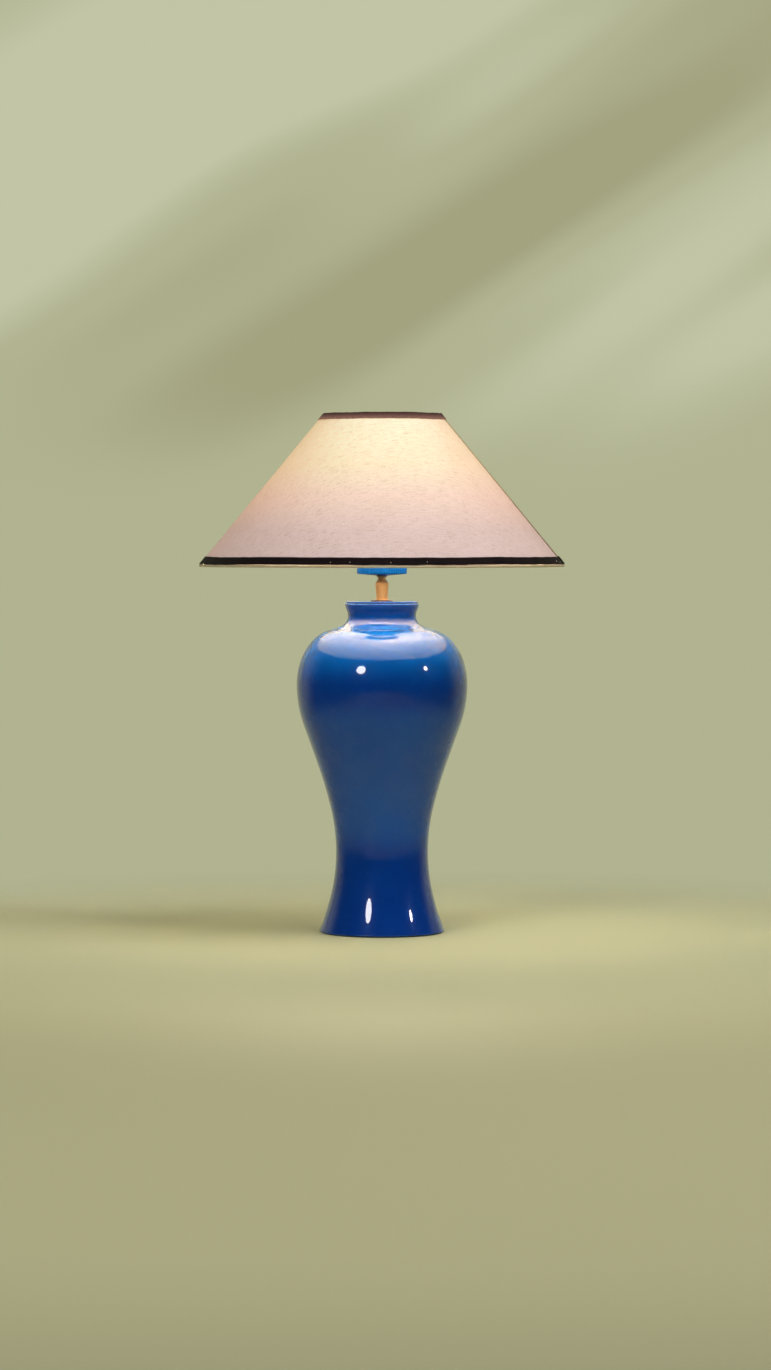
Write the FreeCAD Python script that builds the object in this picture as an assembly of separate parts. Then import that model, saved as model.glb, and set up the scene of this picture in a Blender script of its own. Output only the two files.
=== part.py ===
import FreeCAD, Part
import math
import os

os.makedirs("parts", exist_ok=True)

# Table lamp: a glazed vase, a turned brass neck, a screw lampholder with its bulb, and a cone shade.
# Millimetres, +Z up. The origin is the centre of the felt pad's underside, so the lamp stands on Z = 0.
# The front faces -Y and the inlet for the lead is at the back, towards +Y.
# Outlines are drawn in the plane of radius (along X) and height (along Z), and turned about Z.

# Clearances and cuts
cut_overrun = 1.0
thread_clearance = 0.1
seat_gap = 0.2
running_gap = 0.3
corner_share = 0.45
tiny = 0.000001

# Felt pad and foot cover
felt_thickness = 1.5
felt_inset = 3.0
cover_thickness = 2.5
cover_side_gap = 0.5

# Vase: radii of its outline
foot_r = 68.9
waist_r = 50.6
flank_r = 69.9
belly_r = 93.8
shoulder_r = 75.9
crown_r = 56.1
neck_r = 37.4
lip_r = 40.7

# Vase: each height above the one before, from the underside of the foot to the mouth
waist_rise = 87.0
flank_rise = 94.2
belly_rise = 89.4
shoulder_rise = 49.1
crown_rise = 11.4
neck_rise = 14.8
lip_rise = 13.0
foot_round = 1.0
lip_round = 0.8

# Vase: the outline's lean at its stations, in degrees from level and outwards
foot_lean = 112.8
flank_lean = 70.6
shoulder_lean = 132.6
crown_lean = 166.0
lip_lean = 82.0

# Vase: wall, floor and the recess under the floor
vase_wall = 5.5
recess_rim = 5.8
recess_ledge = 7.0
recess_height = 18.0
floor_thickness = 8.0

# Rod that clamps the vase
rod_r = 5.0
rod_bore_r = 3.5
rod_hole_gap = 0.4
rod_reach_in_neck = 11.5
cushion_r = 21.0
cushion_thickness = 1.5
clamp_washer_r = 20.0
clamp_washer_thickness = 2.0
lock_washer_r = 8.8
lock_washer_thickness = 1.0
nut_across_flats = 17.0
nut_height = 4.0
rod_end_below_nut = 1.0

# Lead inlet at the back of the foot
inlet_wall = 6.0
inlet_spot_r = 6.6
grommet_bore_r = 3.5
grommet_body_r = 5.0
grommet_hole_gap = 0.1
grommet_flange_r = 6.1
grommet_flange_thickness = 1.4
grommet_inner_lip_r = 5.6
grommet_inner_lip = 1.6
grommet_round = 0.5

# Terminal block on the foot cover
block_width = 22.0
block_depth = 16.0
block_height = 11.0
block_inlet_room = 11.0
block_round = 1.2
block_entry_r = 1.5
block_entry_depth = 3.0
pole_pitch = 9.0
clamp_screw_r = 2.2
clamp_screw_x = 6.8
clamp_screw_share = 0.25
clamp_screw_height = 0.8
screw_slot_width = 0.6
screw_slot_depth = 0.4
block_screw_r = 1.5
block_screw_head_r = 2.8
block_screw_head = 1.6

# Leads from the terminal block to the lampholder
lead_r = 0.85
lead_offset = 1.4
lead_bend_r = 6.0
lead_above_cover = 2.4
lead_top_bend_r = 5.2
lead_above_nipple = 1.2
lead_bite = 1.5

# Top of the vase: plug, gasket, cap and seat washer
plug_height = 12.0
plug_web = 4.0
plug_rim = 3.0
plug_hub_r = 9.0
plug_side_gap = 0.2
gasket_inset = 1.4
gasket_width = 5.0
gasket_thickness = 0.4
cap_r = 39.9
cap_thickness = 2.2
cap_round = 1.0
seat_washer_r = 12.35
seat_washer_thickness = 1.2
seat_washer_round = 0.4

# Turned brass neck
barrel_foot_r = 6.9
barrel_foot_height = 0.7
barrel_low_r = 6.2
barrel_top_r = 7.25
barrel_height = 18.4
shoulder_fall = 2.4
barrel_shoulder_r = 5.85
groove_fall = 1.1
groove_r = 4.75
throat_height = 1.7
throat_r = 3.95
collar_height = 2.5
collar_r = 5.6
neck_bore_r = 2.75
neck_socket_spare = 1.0
nipple_r = 5.0
nipple_height = 8.0
neck_round = 0.6

# Dark washer and fluted dish under the lampholder
dish_washer_r = 6.1
dish_washer_thickness = 0.8
dish_r = 27.3
dish_height = 9.2
dish_cone_rise = 1.8
dish_boss_r = 7.0
dish_pocket_r = 20.6
dish_floor = 2.7
dish_round = 1.6
flute_count = 60
flute_depth = 0.5
flute_share = 0.6

# Lampholder for a 27 mm screw cap
holder_cap_r = 20.0
holder_cap_bore_r = 16.5
holder_cap_floor = 2.0
holder_cap_height = 7.5
holder_boss_r = 7.5
holder_boss_height = 4.6
holder_round = 0.8
lock_screw_r = 1.1
lock_screw_height = 3.3
core_r = 17.4
core_cavity_r = 14.2
core_cavity_height = 7.0
core_height = 17.0
post_inner = 7.6
post_depth = 5.0
post_width = 7.0
post_height = 6.0
post_screw_r = 1.6
post_screw_length = 0.8
contact_button_r = 3.2
contact_strip_length = 14.0
contact_strip_width = 5.0
contact_strip_thickness = 0.6
contact_height = 2.0
shell_bore_r = 13.4
shell_wall = 0.5
shell_floor_bore_r = 9.5
shell_height = 22.0
skirt_bore_r = 17.6
skirt_neck_bore_r = 15.2
skirt_root_r = 19.4
skirt_height = 43.0
skirt_round = 1.5
skirt_thread_crest_r = 20.0
skirt_thread_pitch = 2.5
skirt_thread_height = 20.0
thread_flat_share = 0.3
thread_base_share = 0.75
thread_root_bite = 0.3

# Shade clamp ring and its captive slip washer
washer_bore_r = 20.4
washer_r = 25.6
washer_thickness = 0.8
ring_bore_r = 20.4
ring_r = 27.3
ring_height = 7.0
ring_round = 1.2

# Lamp bulb, 60 mm round, with a 27 mm screw cap
contact_gap = 0.3
bulb_r = 30.0
bulb_length = 106.0
bulb_contact_r = 4.6
bulb_contact_height = 1.2
bulb_contact_round = 0.8
insulator_r = 9.4
insulator_height = 3.0
insulator_land = 0.7
bulb_cap_r = 12.35
bulb_cap_wall = 0.5
bulb_cap_height = 22.0
bulb_cap_toe = 2.4
bulb_cap_flare = 1.0
bulb_thread_crest_r = 13.05
bulb_thread_pitch = 3.629
bulb_thread_start = 4.0
bulb_thread_height = 14.5
glass_wall = 0.7
glass_neck_depth = 4.6
glass_neck_gap = 0.2
glass_cheek_r = 22.0
glass_cheek_height = 50.0
glass_cheek_lean = 62.0
stem_flare_height = 11.0
stem_r = 3.0
stem_height = 36.0
stem_rod_r = 1.5
stem_rod_height = 34.0
filament_count = 4
filament_r = 0.9
filament_circle_r = 9.0
filament_length = 30.0
filament_wire_r = 0.35
filament_wire_inset = 1.2

# Cone shade and its frame
shade_foot_r = 199.5
shade_top_r = 64.2
shade_height = 163.9
linen_thickness = 0.6
lining_thickness = 1.0
ribbon_thickness = 0.7
foot_ribbon_height = 8.0
top_ribbon_height = 6.5
top_ribbon_fold = 5.0
seam_width = 10.0
seam_thickness = 0.6
seam_azimuth = 82.0
seam_glue_gap = 0.1
shade_edge_gap = 0.15
frame_tube_r = 1.45
top_ring_gap = 0.1
hub_bore_r = 20.6
hub_r = 26.8
hub_thickness = 3.2
hub_round = 0.5
arm_r = 1.2
arm_names = ("left", "right", "back")
first_arm_azimuth = -47.0

# Heights that follow from the sizes above, from the table upwards
foot_z = felt_thickness
cover_top_z = foot_z + cover_thickness
ledge_z = cover_top_z + seat_gap
floor_z = ledge_z + recess_height
floor_top_z = floor_z + floor_thickness
waist_z = foot_z + waist_rise
flank_z = waist_z + flank_rise
belly_z = flank_z + belly_rise
shoulder_z = belly_z + shoulder_rise
crown_z = shoulder_z + crown_rise
neck_z = crown_z + neck_rise
lip_z = neck_z + lip_rise
mouth_z = lip_z + lip_round
cap_z = mouth_z + gasket_thickness
cap_top_z = cap_z + cap_thickness
brass_z = cap_top_z + seat_washer_thickness
barrel_top_z = brass_z + barrel_height
groove_z = barrel_top_z + shoulder_fall + groove_fall
throat_z = groove_z + throat_height
collar_z = throat_z + collar_height
nipple_top_z = collar_z + nipple_height
rod_top_z = brass_z + rod_reach_in_neck
dish_z = collar_z + dish_washer_thickness
dish_top_z = dish_z + dish_height
holder_z = dish_z + dish_floor
holder_cap_top_z = holder_z + holder_cap_height
core_top_z = holder_cap_top_z + core_height
cavity_top_z = holder_cap_top_z + core_cavity_height
skirt_top_z = holder_cap_top_z + skirt_height
hub_z = dish_top_z + running_gap
hub_top_z = hub_z + hub_thickness
frame_z = hub_z + hub_thickness / 2
washer_z = hub_top_z + running_gap
ring_z = washer_z + washer_thickness + running_gap
bulb_z = core_top_z + contact_height + contact_gap
bulb_cap_z = bulb_z + bulb_contact_height + insulator_height + running_gap
bulb_cap_top_z = bulb_cap_z + bulb_cap_height
glass_foot_z = bulb_cap_top_z - glass_neck_depth
shade_foot_z = frame_z + frame_tube_r + shade_edge_gap
shade_top_z = shade_foot_z + shade_height

# Radii and places that follow from the sizes above
rebate_r = foot_r - recess_rim
recess_r = rebate_r - recess_ledge
mouth_bore_r = neck_r - vase_wall
cushion_z = floor_z - cushion_thickness
clamp_washer_z = cushion_z - clamp_washer_thickness
lock_washer_z = clamp_washer_z - lock_washer_thickness
nut_z = lock_washer_z - nut_height
rod_foot_z = nut_z - rod_end_below_nut
inlet_z = ledge_z + recess_height / 2
inlet_y = recess_r + inlet_wall
grommet_lip_y = math.sqrt(recess_r * recess_r - grommet_inner_lip_r * grommet_inner_lip_r) - seat_gap
grommet_inner_y = grommet_lip_y - grommet_inner_lip
block_y = grommet_inner_y - block_inlet_room - block_depth
block_screw_y = block_y + block_depth / 2
lead_z = cover_top_z + lead_above_cover
thread_hole_r = rod_r + thread_clearance
nipple_hole_r = nipple_r + thread_clearance
frame_ring_r = shade_foot_r - (linen_thickness + lining_thickness) / 2
skin_thickness = linen_thickness + lining_thickness


def vec(x, y, z):
    """A point or direction."""
    return FreeCAD.Vector(x, y, z)


up = vec(0, 0, 1)
origin = vec(0, 0, 0)


def unit(direction):
    """The direction with a length of one."""
    return direction / direction.Length


def azimuth(degrees):
    """The level direction at this many degrees from the front (-Y) towards +X."""
    return vec(math.sin(math.radians(degrees)), -math.cos(math.radians(degrees)), 0)


def outward(solid):
    """The solid with its faces pointing outwards."""
    if solid.Volume < 0:
        solid.reverse()
    return solid


def revolved(edges):
    """A solid turned about Z from a closed outline of edges in the plane of radius and height."""
    face = Part.Face(Part.Wire(Part.__sortEdges__(edges)))
    return outward(Part.makeSolid(face.revolve(origin, up, 360).Shells[0]))


def rounded_edges(corners):
    """Edges of a closed outline whose corners are (radius, height) or (radius, height, round)."""
    places = [vec(corner[0], 0, corner[1]) for corner in corners]
    rounds = [corner[2] if len(corner) > 2 else 0 for corner in corners]
    arrivals = []
    departures = []
    edges = []
    for index, here in enumerate(places):
        back = places[index - 1] - here
        ahead = places[(index + 1) % len(places)] - here
        arrival = here
        departure = here
        if rounds[index] > 0:
            half_angle = back.getAngle(ahead) / 2
            longest = corner_share * min(back.Length, ahead.Length)
            reach = min(rounds[index] / math.tan(half_angle), longest)
            radius = reach * math.tan(half_angle)
            inside = unit(unit(back) + unit(ahead))
            middle = here + inside * (radius / math.sin(half_angle) - radius)
            arrival = here + unit(back) * reach
            departure = here + unit(ahead) * reach
            edges.append(Part.Arc(arrival, middle, departure).toShape())
        arrivals.append(arrival)
        departures.append(departure)
    for index, start in enumerate(departures):
        end = arrivals[(index + 1) % len(arrivals)]
        if (end - start).Length > tiny:
            edges.append(Part.LineSegment(start, end).toShape())
    return edges


def turned(*corners):
    """A solid turned about Z from corners given as (radius, height) or (radius, height, round)."""
    return revolved(rounded_edges(corners))


def drum(radius, low, high):
    """A plain disc or rod about Z."""
    return Part.makeCylinder(radius, high - low, vec(0, 0, low), up)


def ring(inner_r, outer_r, low, high, edge_round=0):
    """A ring about Z whose two outer edges may be rounded."""
    return turned((inner_r, low), (outer_r, low, edge_round), (outer_r, high, edge_round), (inner_r, high))


def station(radius, height, lean):
    """A place on an outline, with the direction in which the outline passes it."""
    heading = vec(math.cos(math.radians(lean)), 0, math.sin(math.radians(lean)))
    return vec(radius, 0, height), heading


def inset(place, depth):
    """The station moved by a wall's depth to the left of its heading, which is towards the axis."""
    point, heading = place
    return point + vec(-heading.z, 0, heading.x) * depth, heading


def arc_or_line(start, heading, end):
    """The edge that leaves start along heading and reaches end."""
    chord = end - start
    left = vec(-chord.z, 0, chord.x)
    bow = math.atan2(heading.dot(left), heading.dot(chord))
    if abs(bow) < tiny:
        return Part.LineSegment(start, end).toShape()
    middle = (start + end) / 2 + left * (math.tan(bow / 2) / 2)
    return Part.Arc(start, middle, end).toShape()


def smooth_edges(stations):
    """Two tangent arcs between each station and the next."""
    edges = []
    for (start, leaving), (end, arriving) in zip(stations, stations[1:]):
        chord = end - start
        both = leaving + arriving
        spread = 2 * (1 - leaving.dot(arriving))
        if spread < tiny:
            reach = chord.dot(chord) / (4 * chord.dot(arriving))
        else:
            along = chord.dot(both)
            reach = (math.sqrt(along * along + spread * chord.dot(chord)) - along) / spread
        near = start + leaving * reach
        far = end - arriving * reach
        middle = (near + far) / 2
        edges.append(arc_or_line(start, leaving, middle))
        edges.append(arc_or_line(middle, unit(far - near), end))
    return edges


def polyline(*points):
    """Straight edges from point to point."""
    return [Part.LineSegment(start, end).toShape() for start, end in zip(points, points[1:])]


def thread_ridge(root_r, crest_r, pitch, low, height):
    """A right-hand screw ridge that is rooted inside its shaft."""
    helix = Part.makeHelix(pitch, height, root_r)
    base_half = pitch * thread_base_share / 2
    crest_half = pitch * thread_flat_share / 2
    profile = Part.makePolygon([
        vec(root_r - thread_root_bite, 0, -base_half),
        vec(crest_r, 0, -crest_half),
        vec(crest_r, 0, crest_half),
        vec(root_r - thread_root_bite, 0, base_half),
        vec(root_r - thread_root_bite, 0, -base_half),
    ])
    ridge = outward(Part.Wire(helix).makePipeShell([profile], True, True))
    ridge.translate(vec(0, 0, low))
    return ridge


def fluted(radius, depth, low, high):
    """A drum with a row of shallow flutes round its side."""
    def at(distance, angle):
        return vec(distance * math.cos(angle), distance * math.sin(angle), low)

    step = 2 * math.pi / flute_count
    edges = []
    for index in range(flute_count):
        crest_start = index * step
        flute_start = crest_start + step * (1 - flute_share)
        flute_end = crest_start + step
        crest_middle = at(radius, (crest_start + flute_start) / 2)
        flute_middle = at(radius - depth, (flute_start + flute_end) / 2)
        edges.append(Part.Arc(at(radius, crest_start), crest_middle, at(radius, flute_start)).toShape())
        edges.append(Part.Arc(at(radius, flute_start), flute_middle, at(radius, flute_end)).toShape())
    return Part.Face(Part.Wire(edges)).extrude(vec(0, 0, high - low))


def lead(points, bends, radius):
    """A round lead along straight runs that are joined by tangent arcs of the given radii."""
    edges = []
    start = points[0]
    for index, bend_r in enumerate(bends):
        corner = points[index + 1]
        back = points[index] - corner
        ahead = points[index + 2] - corner
        half_angle = back.getAngle(ahead) / 2
        reach = bend_r / math.tan(half_angle)
        inside = unit(unit(back) + unit(ahead))
        middle = corner + inside * (bend_r / math.sin(half_angle) - bend_r)
        arrival = corner + unit(back) * reach
        departure = corner + unit(ahead) * reach
        edges += polyline(start, arrival)
        edges.append(Part.Arc(arrival, middle, departure).toShape())
        start = departure
    edges += polyline(start, points[-1])
    path = Part.Wire(edges)
    section = Part.Wire([Part.makeCircle(radius, points[0], points[1] - points[0])])
    tube = outward(path.makePipeShell([section], True, False))
    expected = math.pi * radius * radius * path.Length
    print("lead bends", [round(bend, 2) for bend in bends], "volume ratio", round(tube.Volume / expected, 4))
    return tube


# Foot

def make_felt_pad():
    """The felt disc that the lamp stands on."""
    return drum(foot_r - felt_inset, 0, felt_thickness)


def make_foot_cover():
    """The sheet-metal disc that closes the recess, with the hole for the block's screw."""
    plate = ring(0, rebate_r - cover_side_gap, foot_z, cover_top_z)
    hole = Part.makeCylinder(block_screw_r, cover_thickness + 2 * cut_overrun,
                             vec(0, block_screw_y, foot_z - cut_overrun), up)
    return plate.cut(hole)


def make_terminal_block():
    """The moulded two-pole terminal block, with an entry at each end of each pole."""
    block = Part.makeBox(block_width, block_depth, block_height,
                         vec(-block_width / 2, block_y, cover_top_z))
    uprights = [edge for edge in block.Edges if abs(edge.Vertexes[0].Z - edge.Vertexes[1].Z) > block_round]
    block = block.makeFillet(block_round, uprights)
    for side in (-1, 1):
        x = side * pole_pitch / 2
        front = Part.makeCylinder(block_entry_r, block_entry_depth + cut_overrun,
                                  vec(x, block_y - cut_overrun, lead_z), vec(0, 1, 0))
        rear = Part.makeCylinder(block_entry_r, block_entry_depth + cut_overrun,
                                 vec(x, block_y + block_depth + cut_overrun, lead_z), vec(0, -1, 0))
        block = block.cut(front.fuse(rear))
    return block.cut(Part.makeCylinder(block_screw_r, block_height + 2 * cut_overrun,
                                       vec(0, block_screw_y, cover_top_z - cut_overrun), up))


def slotted_head(radius, height, x, y, z):
    """A round screw head with a slot across its top."""
    head = Part.makeCylinder(radius, height, vec(x, y, z), up)
    corner = vec(x - radius - cut_overrun, y - screw_slot_width / 2, z + height - screw_slot_depth)
    length = 2 * (radius + cut_overrun)
    slot = Part.makeBox(length, screw_slot_width, screw_slot_depth + cut_overrun, corner)
    return head.cut(slot)


def make_block_screw():
    """The screw that holds the terminal block to the foot cover."""
    head_z = cover_top_z + block_height
    shank = Part.makeCylinder(block_screw_r, head_z - foot_z, vec(0, block_screw_y, foot_z), up)
    head = slotted_head(block_screw_head_r, block_screw_head, 0, block_screw_y, head_z)
    return head.fuse(shank).removeSplitter()


def make_block_clamp_screws():
    """Two clamp screws on each pole of the terminal block."""
    heads = []
    for side in (-1, 1):
        for share in (clamp_screw_share, 1 - clamp_screw_share):
            heads.append(slotted_head(clamp_screw_r, clamp_screw_height, side * clamp_screw_x,
                                      block_y + block_depth * share, cover_top_z + block_height))
    return Part.makeCompound(heads)


def make_cord_grommet():
    """The moulded bush in the back of the foot that a lead passes through."""
    outer_end = inlet_y + grommet_flange_thickness
    bush = turned((grommet_bore_r, grommet_inner_y, grommet_round),
                  (grommet_inner_lip_r, grommet_inner_y, grommet_round),
                  (grommet_inner_lip_r, grommet_lip_y), (grommet_body_r, grommet_lip_y),
                  (grommet_body_r, inlet_y), (grommet_flange_r, inlet_y),
                  (grommet_flange_r, outer_end, grommet_round), (grommet_bore_r, outer_end, grommet_round))
    bush.rotate(origin, vec(1, 0, 0), -90)
    bush.translate(vec(0, 0, inlet_z))
    return bush


# Vase

def vase_stations():
    """The outline of the vase from the foot's edge to the lip."""
    return [
        station(foot_r, foot_z + foot_round, foot_lean),
        station(waist_r, waist_z, 90),
        station(flank_r, flank_z, flank_lean),
        station(belly_r, belly_z, 90),
        station(shoulder_r, shoulder_z, shoulder_lean),
        station(crown_r, crown_z, crown_lean),
        station(neck_r, neck_z, 90),
    ]


def make_vase_outside():
    """The vase as a solid block, before it is hollowed."""
    stations = [station(foot_r - foot_round, foot_z, 0)] + vase_stations()
    stations += [station(lip_r, lip_z, lip_lean), station(lip_r - lip_round, mouth_z, 180)]
    edges = smooth_edges(stations)
    edges += polyline(stations[-1][0], vec(0, 0, mouth_z), vec(0, 0, foot_z), stations[0][0])
    return revolved(edges)


def make_vase_hollow():
    """The space inside the vase, from the floor to the mouth."""
    stations = [inset(place, vase_wall) for place in vase_stations()]
    low = stations[0][0]
    high = stations[-1][0]
    top_z = mouth_z + cut_overrun
    edges = smooth_edges(stations)
    edges += polyline(high, vec(high.x, 0, top_z), vec(0, 0, top_z), vec(0, 0, low.z), low)
    return revolved(edges).common(drum(belly_r, floor_top_z, top_z))


def make_vase_body():
    """The glazed vase: hollow above its floor, recessed and rebated below it."""
    body = make_vase_outside().cut(make_vase_hollow())
    body = body.cut(drum(recess_r, foot_z - cut_overrun, floor_z))
    body = body.cut(drum(rebate_r, foot_z - cut_overrun, ledge_z))
    body = body.cut(drum(rod_r + rod_hole_gap, floor_z - cut_overrun, floor_top_z + cut_overrun))
    inlet = Part.makeCylinder(grommet_body_r + grommet_hole_gap, inlet_wall + 2 * cut_overrun,
                              vec(0, recess_r - cut_overrun, inlet_z), vec(0, 1, 0))
    spot_face = Part.makeCylinder(inlet_spot_r, foot_r, vec(0, inlet_y, inlet_z), vec(0, 1, 0))
    return body.cut(inlet).cut(spot_face)


# Clamping of the vase

def make_threaded_rod():
    """The tube that runs up the middle of the vase and carries the leads."""
    return ring(rod_bore_r, rod_r, rod_foot_z, rod_top_z)


def make_bottom_nut():
    """The thin hexagon nut under the floor."""
    corner_r = nut_across_flats / math.sqrt(3)
    corners = [azimuth(60 * k) * corner_r + vec(0, 0, nut_z) for k in range(7)]
    hexagon = Part.Face(Part.makePolygon(corners)).extrude(vec(0, 0, nut_height))
    return hexagon.cut(drum(thread_hole_r, nut_z - cut_overrun, nut_z + nut_height + cut_overrun))


def make_neck_plug():
    """The moulded cup that centres the rod in the neck of the vase."""
    rim_r = mouth_bore_r - plug_side_gap
    low = mouth_z - plug_height
    web_z = mouth_z - plug_web
    return turned((thread_hole_r, low), (plug_hub_r, low), (plug_hub_r, web_z, plug_rim / 2),
                  (rim_r - plug_rim, web_z, plug_rim / 2), (rim_r - plug_rim, low), (rim_r, low),
                  (rim_r, mouth_z), (thread_hole_r, mouth_z))


def make_cap_gasket():
    """The thin ring between the mouth of the vase and its cap."""
    outer_r = cap_r - gasket_inset
    return ring(outer_r - gasket_width, outer_r, mouth_z, cap_z)


def make_vase_cap():
    """The painted cap on the mouth of the vase."""
    return turned((thread_hole_r, cap_z), (cap_r, cap_z, cap_round), (cap_r, cap_top_z, cap_round),
                  (thread_hole_r, cap_top_z))


def make_turned_neck():
    """The turned brass neck: a barrel, a throat, a collar and the threaded nipple above it."""
    socket_top_z = rod_top_z + neck_socket_spare
    return turned((thread_hole_r, brass_z), (barrel_foot_r, brass_z),
                  (barrel_foot_r, brass_z + barrel_foot_height, barrel_foot_height),
                  (barrel_low_r, brass_z + 2 * barrel_foot_height, barrel_foot_height),
                  (barrel_top_r, barrel_top_z, neck_round),
                  (barrel_shoulder_r, barrel_top_z + shoulder_fall, neck_round),
                  (groove_r, groove_z, neck_round), (throat_r, throat_z, neck_round),
                  (collar_r, collar_z - neck_round, neck_round), (collar_r, collar_z), (nipple_r, collar_z),
                  (nipple_r, nipple_top_z), (neck_bore_r, nipple_top_z), (neck_bore_r, socket_top_z),
                  (thread_hole_r, socket_top_z))


# Lampholder

def make_holder_dish():
    """The fluted dish that carries the lampholder and the shade."""
    low = dish_z + dish_cone_rise
    plain = turned((nipple_hole_r, dish_z), (dish_boss_r, dish_z), (dish_r, low, dish_round),
                   (dish_r, dish_top_z, dish_round / 2), (dish_pocket_r, dish_top_z),
                   (dish_pocket_r, holder_z), (nipple_hole_r, holder_z))
    return plain.common(fluted(dish_r, flute_depth, dish_z - cut_overrun, dish_top_z + cut_overrun))


def make_holder_cap():
    """The cup at the foot of the lampholder, with the boss that screws onto the nipple."""
    floor_top = holder_z + holder_cap_floor
    boss_top = holder_z + holder_boss_height
    cup = turned((nipple_hole_r, holder_z), (holder_cap_r, holder_z, holder_round),
                 (holder_cap_r, holder_cap_top_z), (holder_cap_bore_r, holder_cap_top_z),
                 (holder_cap_bore_r, floor_top, holder_round), (holder_boss_r, floor_top),
                 (holder_boss_r, boss_top), (nipple_hole_r, boss_top))
    return cup.cut(make_lock_screw())


def make_lock_screw():
    """The headless screw that locks the lampholder on the nipple."""
    start = vec(0, 0, holder_z + lock_screw_height)
    rod = Part.makeCylinder(lock_screw_r, holder_boss_r, start, vec(0, 1, 0))
    return rod.cut(drum(nipple_hole_r, holder_z, holder_z + holder_boss_height + cut_overrun))


def make_holder_core():
    """The ceramic core: a cup upside down over the terminals."""
    return turned((0, cavity_top_z), (core_cavity_r, cavity_top_z, holder_round),
                  (core_cavity_r, holder_cap_top_z), (core_r, holder_cap_top_z),
                  (core_r, core_top_z, holder_round), (0, core_top_z))


def make_holder_terminals():
    """Two brass posts that hang from the core."""
    posts = []
    for side in (-1, 1):
        low_x = post_inner if side > 0 else -post_inner - post_depth
        posts.append(Part.makeBox(post_depth, post_width, post_height,
                                  vec(low_x, -post_width / 2, cavity_top_z - post_height)))
    return Part.makeCompound(posts)


def make_terminal_screws():
    """The screw in the foot of each brass post."""
    screws = []
    for side in (-1, 1):
        x = side * (post_inner + post_depth / 2)
        screws.append(Part.makeCylinder(post_screw_r, post_screw_length,
                                        vec(x, 0, cavity_top_z - post_height - post_screw_length), up))
    return Part.makeCompound(screws)


def make_centre_contact():
    """The sprung strip and button that the tip of the bulb presses on."""
    strip = Part.makeBox(contact_strip_length, contact_strip_width, contact_strip_thickness,
                         vec(-contact_strip_length / 2, -contact_strip_width / 2, core_top_z))
    high = core_top_z + contact_height
    button = turned((0, core_top_z), (contact_button_r, core_top_z),
                    (contact_button_r, high, contact_button_r), (0, high))
    return strip.fuse(button).removeSplitter()


def make_screw_shell():
    """The thin metal shell that the bulb screws into."""
    outer_r = shell_bore_r + shell_wall
    return turned((shell_floor_bore_r, core_top_z), (outer_r, core_top_z, shell_wall),
                  (outer_r, core_top_z + shell_height), (shell_bore_r, core_top_z + shell_height),
                  (shell_bore_r, core_top_z + shell_wall), (shell_floor_bore_r, core_top_z + shell_wall))


def make_holder_skirt():
    """The outer shell of the lampholder, with the thread for the clamp ring."""
    step_z = core_top_z + seat_gap
    skirt = turned((skirt_bore_r, holder_cap_top_z), (skirt_root_r, holder_cap_top_z),
                   (skirt_root_r, skirt_top_z, skirt_round),
                   (skirt_neck_bore_r, skirt_top_z, skirt_round / 2), (skirt_neck_bore_r, step_z),
                   (skirt_bore_r, step_z))
    ridge = thread_ridge(skirt_root_r, skirt_thread_crest_r, skirt_thread_pitch, ring_z, skirt_thread_height)
    return skirt.fuse(ridge)


# Shade clamp

def make_slip_washer():
    """The washer held captive under the clamp ring, which rises without turning."""
    return ring(washer_bore_r, washer_r, washer_z, washer_z + washer_thickness)


def make_clamp_ring():
    """The fluted ring that clamps the hub of the shade."""
    high = ring_z + ring_height
    plain = turned((ring_bore_r, ring_z), (ring_r, ring_z, ring_round), (ring_r, high, ring_round),
                   (ring_bore_r, high))
    return plain.common(fluted(ring_r, flute_depth, ring_z - cut_overrun, high + cut_overrun))


# Lamp bulb

def make_bulb_contact():
    """The tip of the bulb."""
    high = bulb_z + bulb_contact_height
    return turned((0, bulb_z), (bulb_contact_r, bulb_z, bulb_contact_round), (bulb_contact_r, high),
                  (0, high))


def make_bulb_insulator():
    """The glass insulator between the tip and the cap of the bulb."""
    low = bulb_z + bulb_contact_height
    high = low + insulator_height
    return turned((0, low), (bulb_contact_r, low), (insulator_r, high), (insulator_r, high + insulator_land),
                  (0, high + insulator_land))


def make_bulb_cap():
    """The threaded metal cap of the bulb."""
    toe_z = bulb_cap_z + bulb_cap_toe
    flare_z = bulb_cap_top_z - bulb_cap_flare
    inner_r = bulb_cap_r - bulb_cap_wall
    hole_r = insulator_r + running_gap
    shell = turned((hole_r, bulb_cap_z), (bulb_cap_r, toe_z, bulb_cap_wall),
                   (bulb_cap_r, flare_z, bulb_cap_wall), (bulb_cap_r + bulb_cap_flare, bulb_cap_top_z),
                   (inner_r + bulb_cap_flare, bulb_cap_top_z), (inner_r, flare_z, bulb_cap_wall),
                   (inner_r, toe_z + bulb_cap_wall / 2, bulb_cap_wall), (hole_r, bulb_cap_z + bulb_cap_wall))
    ridge = thread_ridge(bulb_cap_r, bulb_thread_crest_r, bulb_thread_pitch, bulb_cap_z + bulb_thread_start,
                         bulb_thread_height)
    return shell.fuse(ridge)


def glass_stations():
    """The outline of the glass from its neck inside the cap to its top."""
    neck = bulb_cap_r - bulb_cap_wall - glass_neck_gap
    top_z = bulb_z + bulb_length
    return [
        station(neck, glass_foot_z, 90),
        station(neck, bulb_cap_top_z - bulb_cap_flare, 90),
        station(glass_cheek_r, bulb_z + glass_cheek_height, glass_cheek_lean),
        station(bulb_r, top_z - bulb_r, 90),
        station(0, top_z, 180),
    ]


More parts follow.
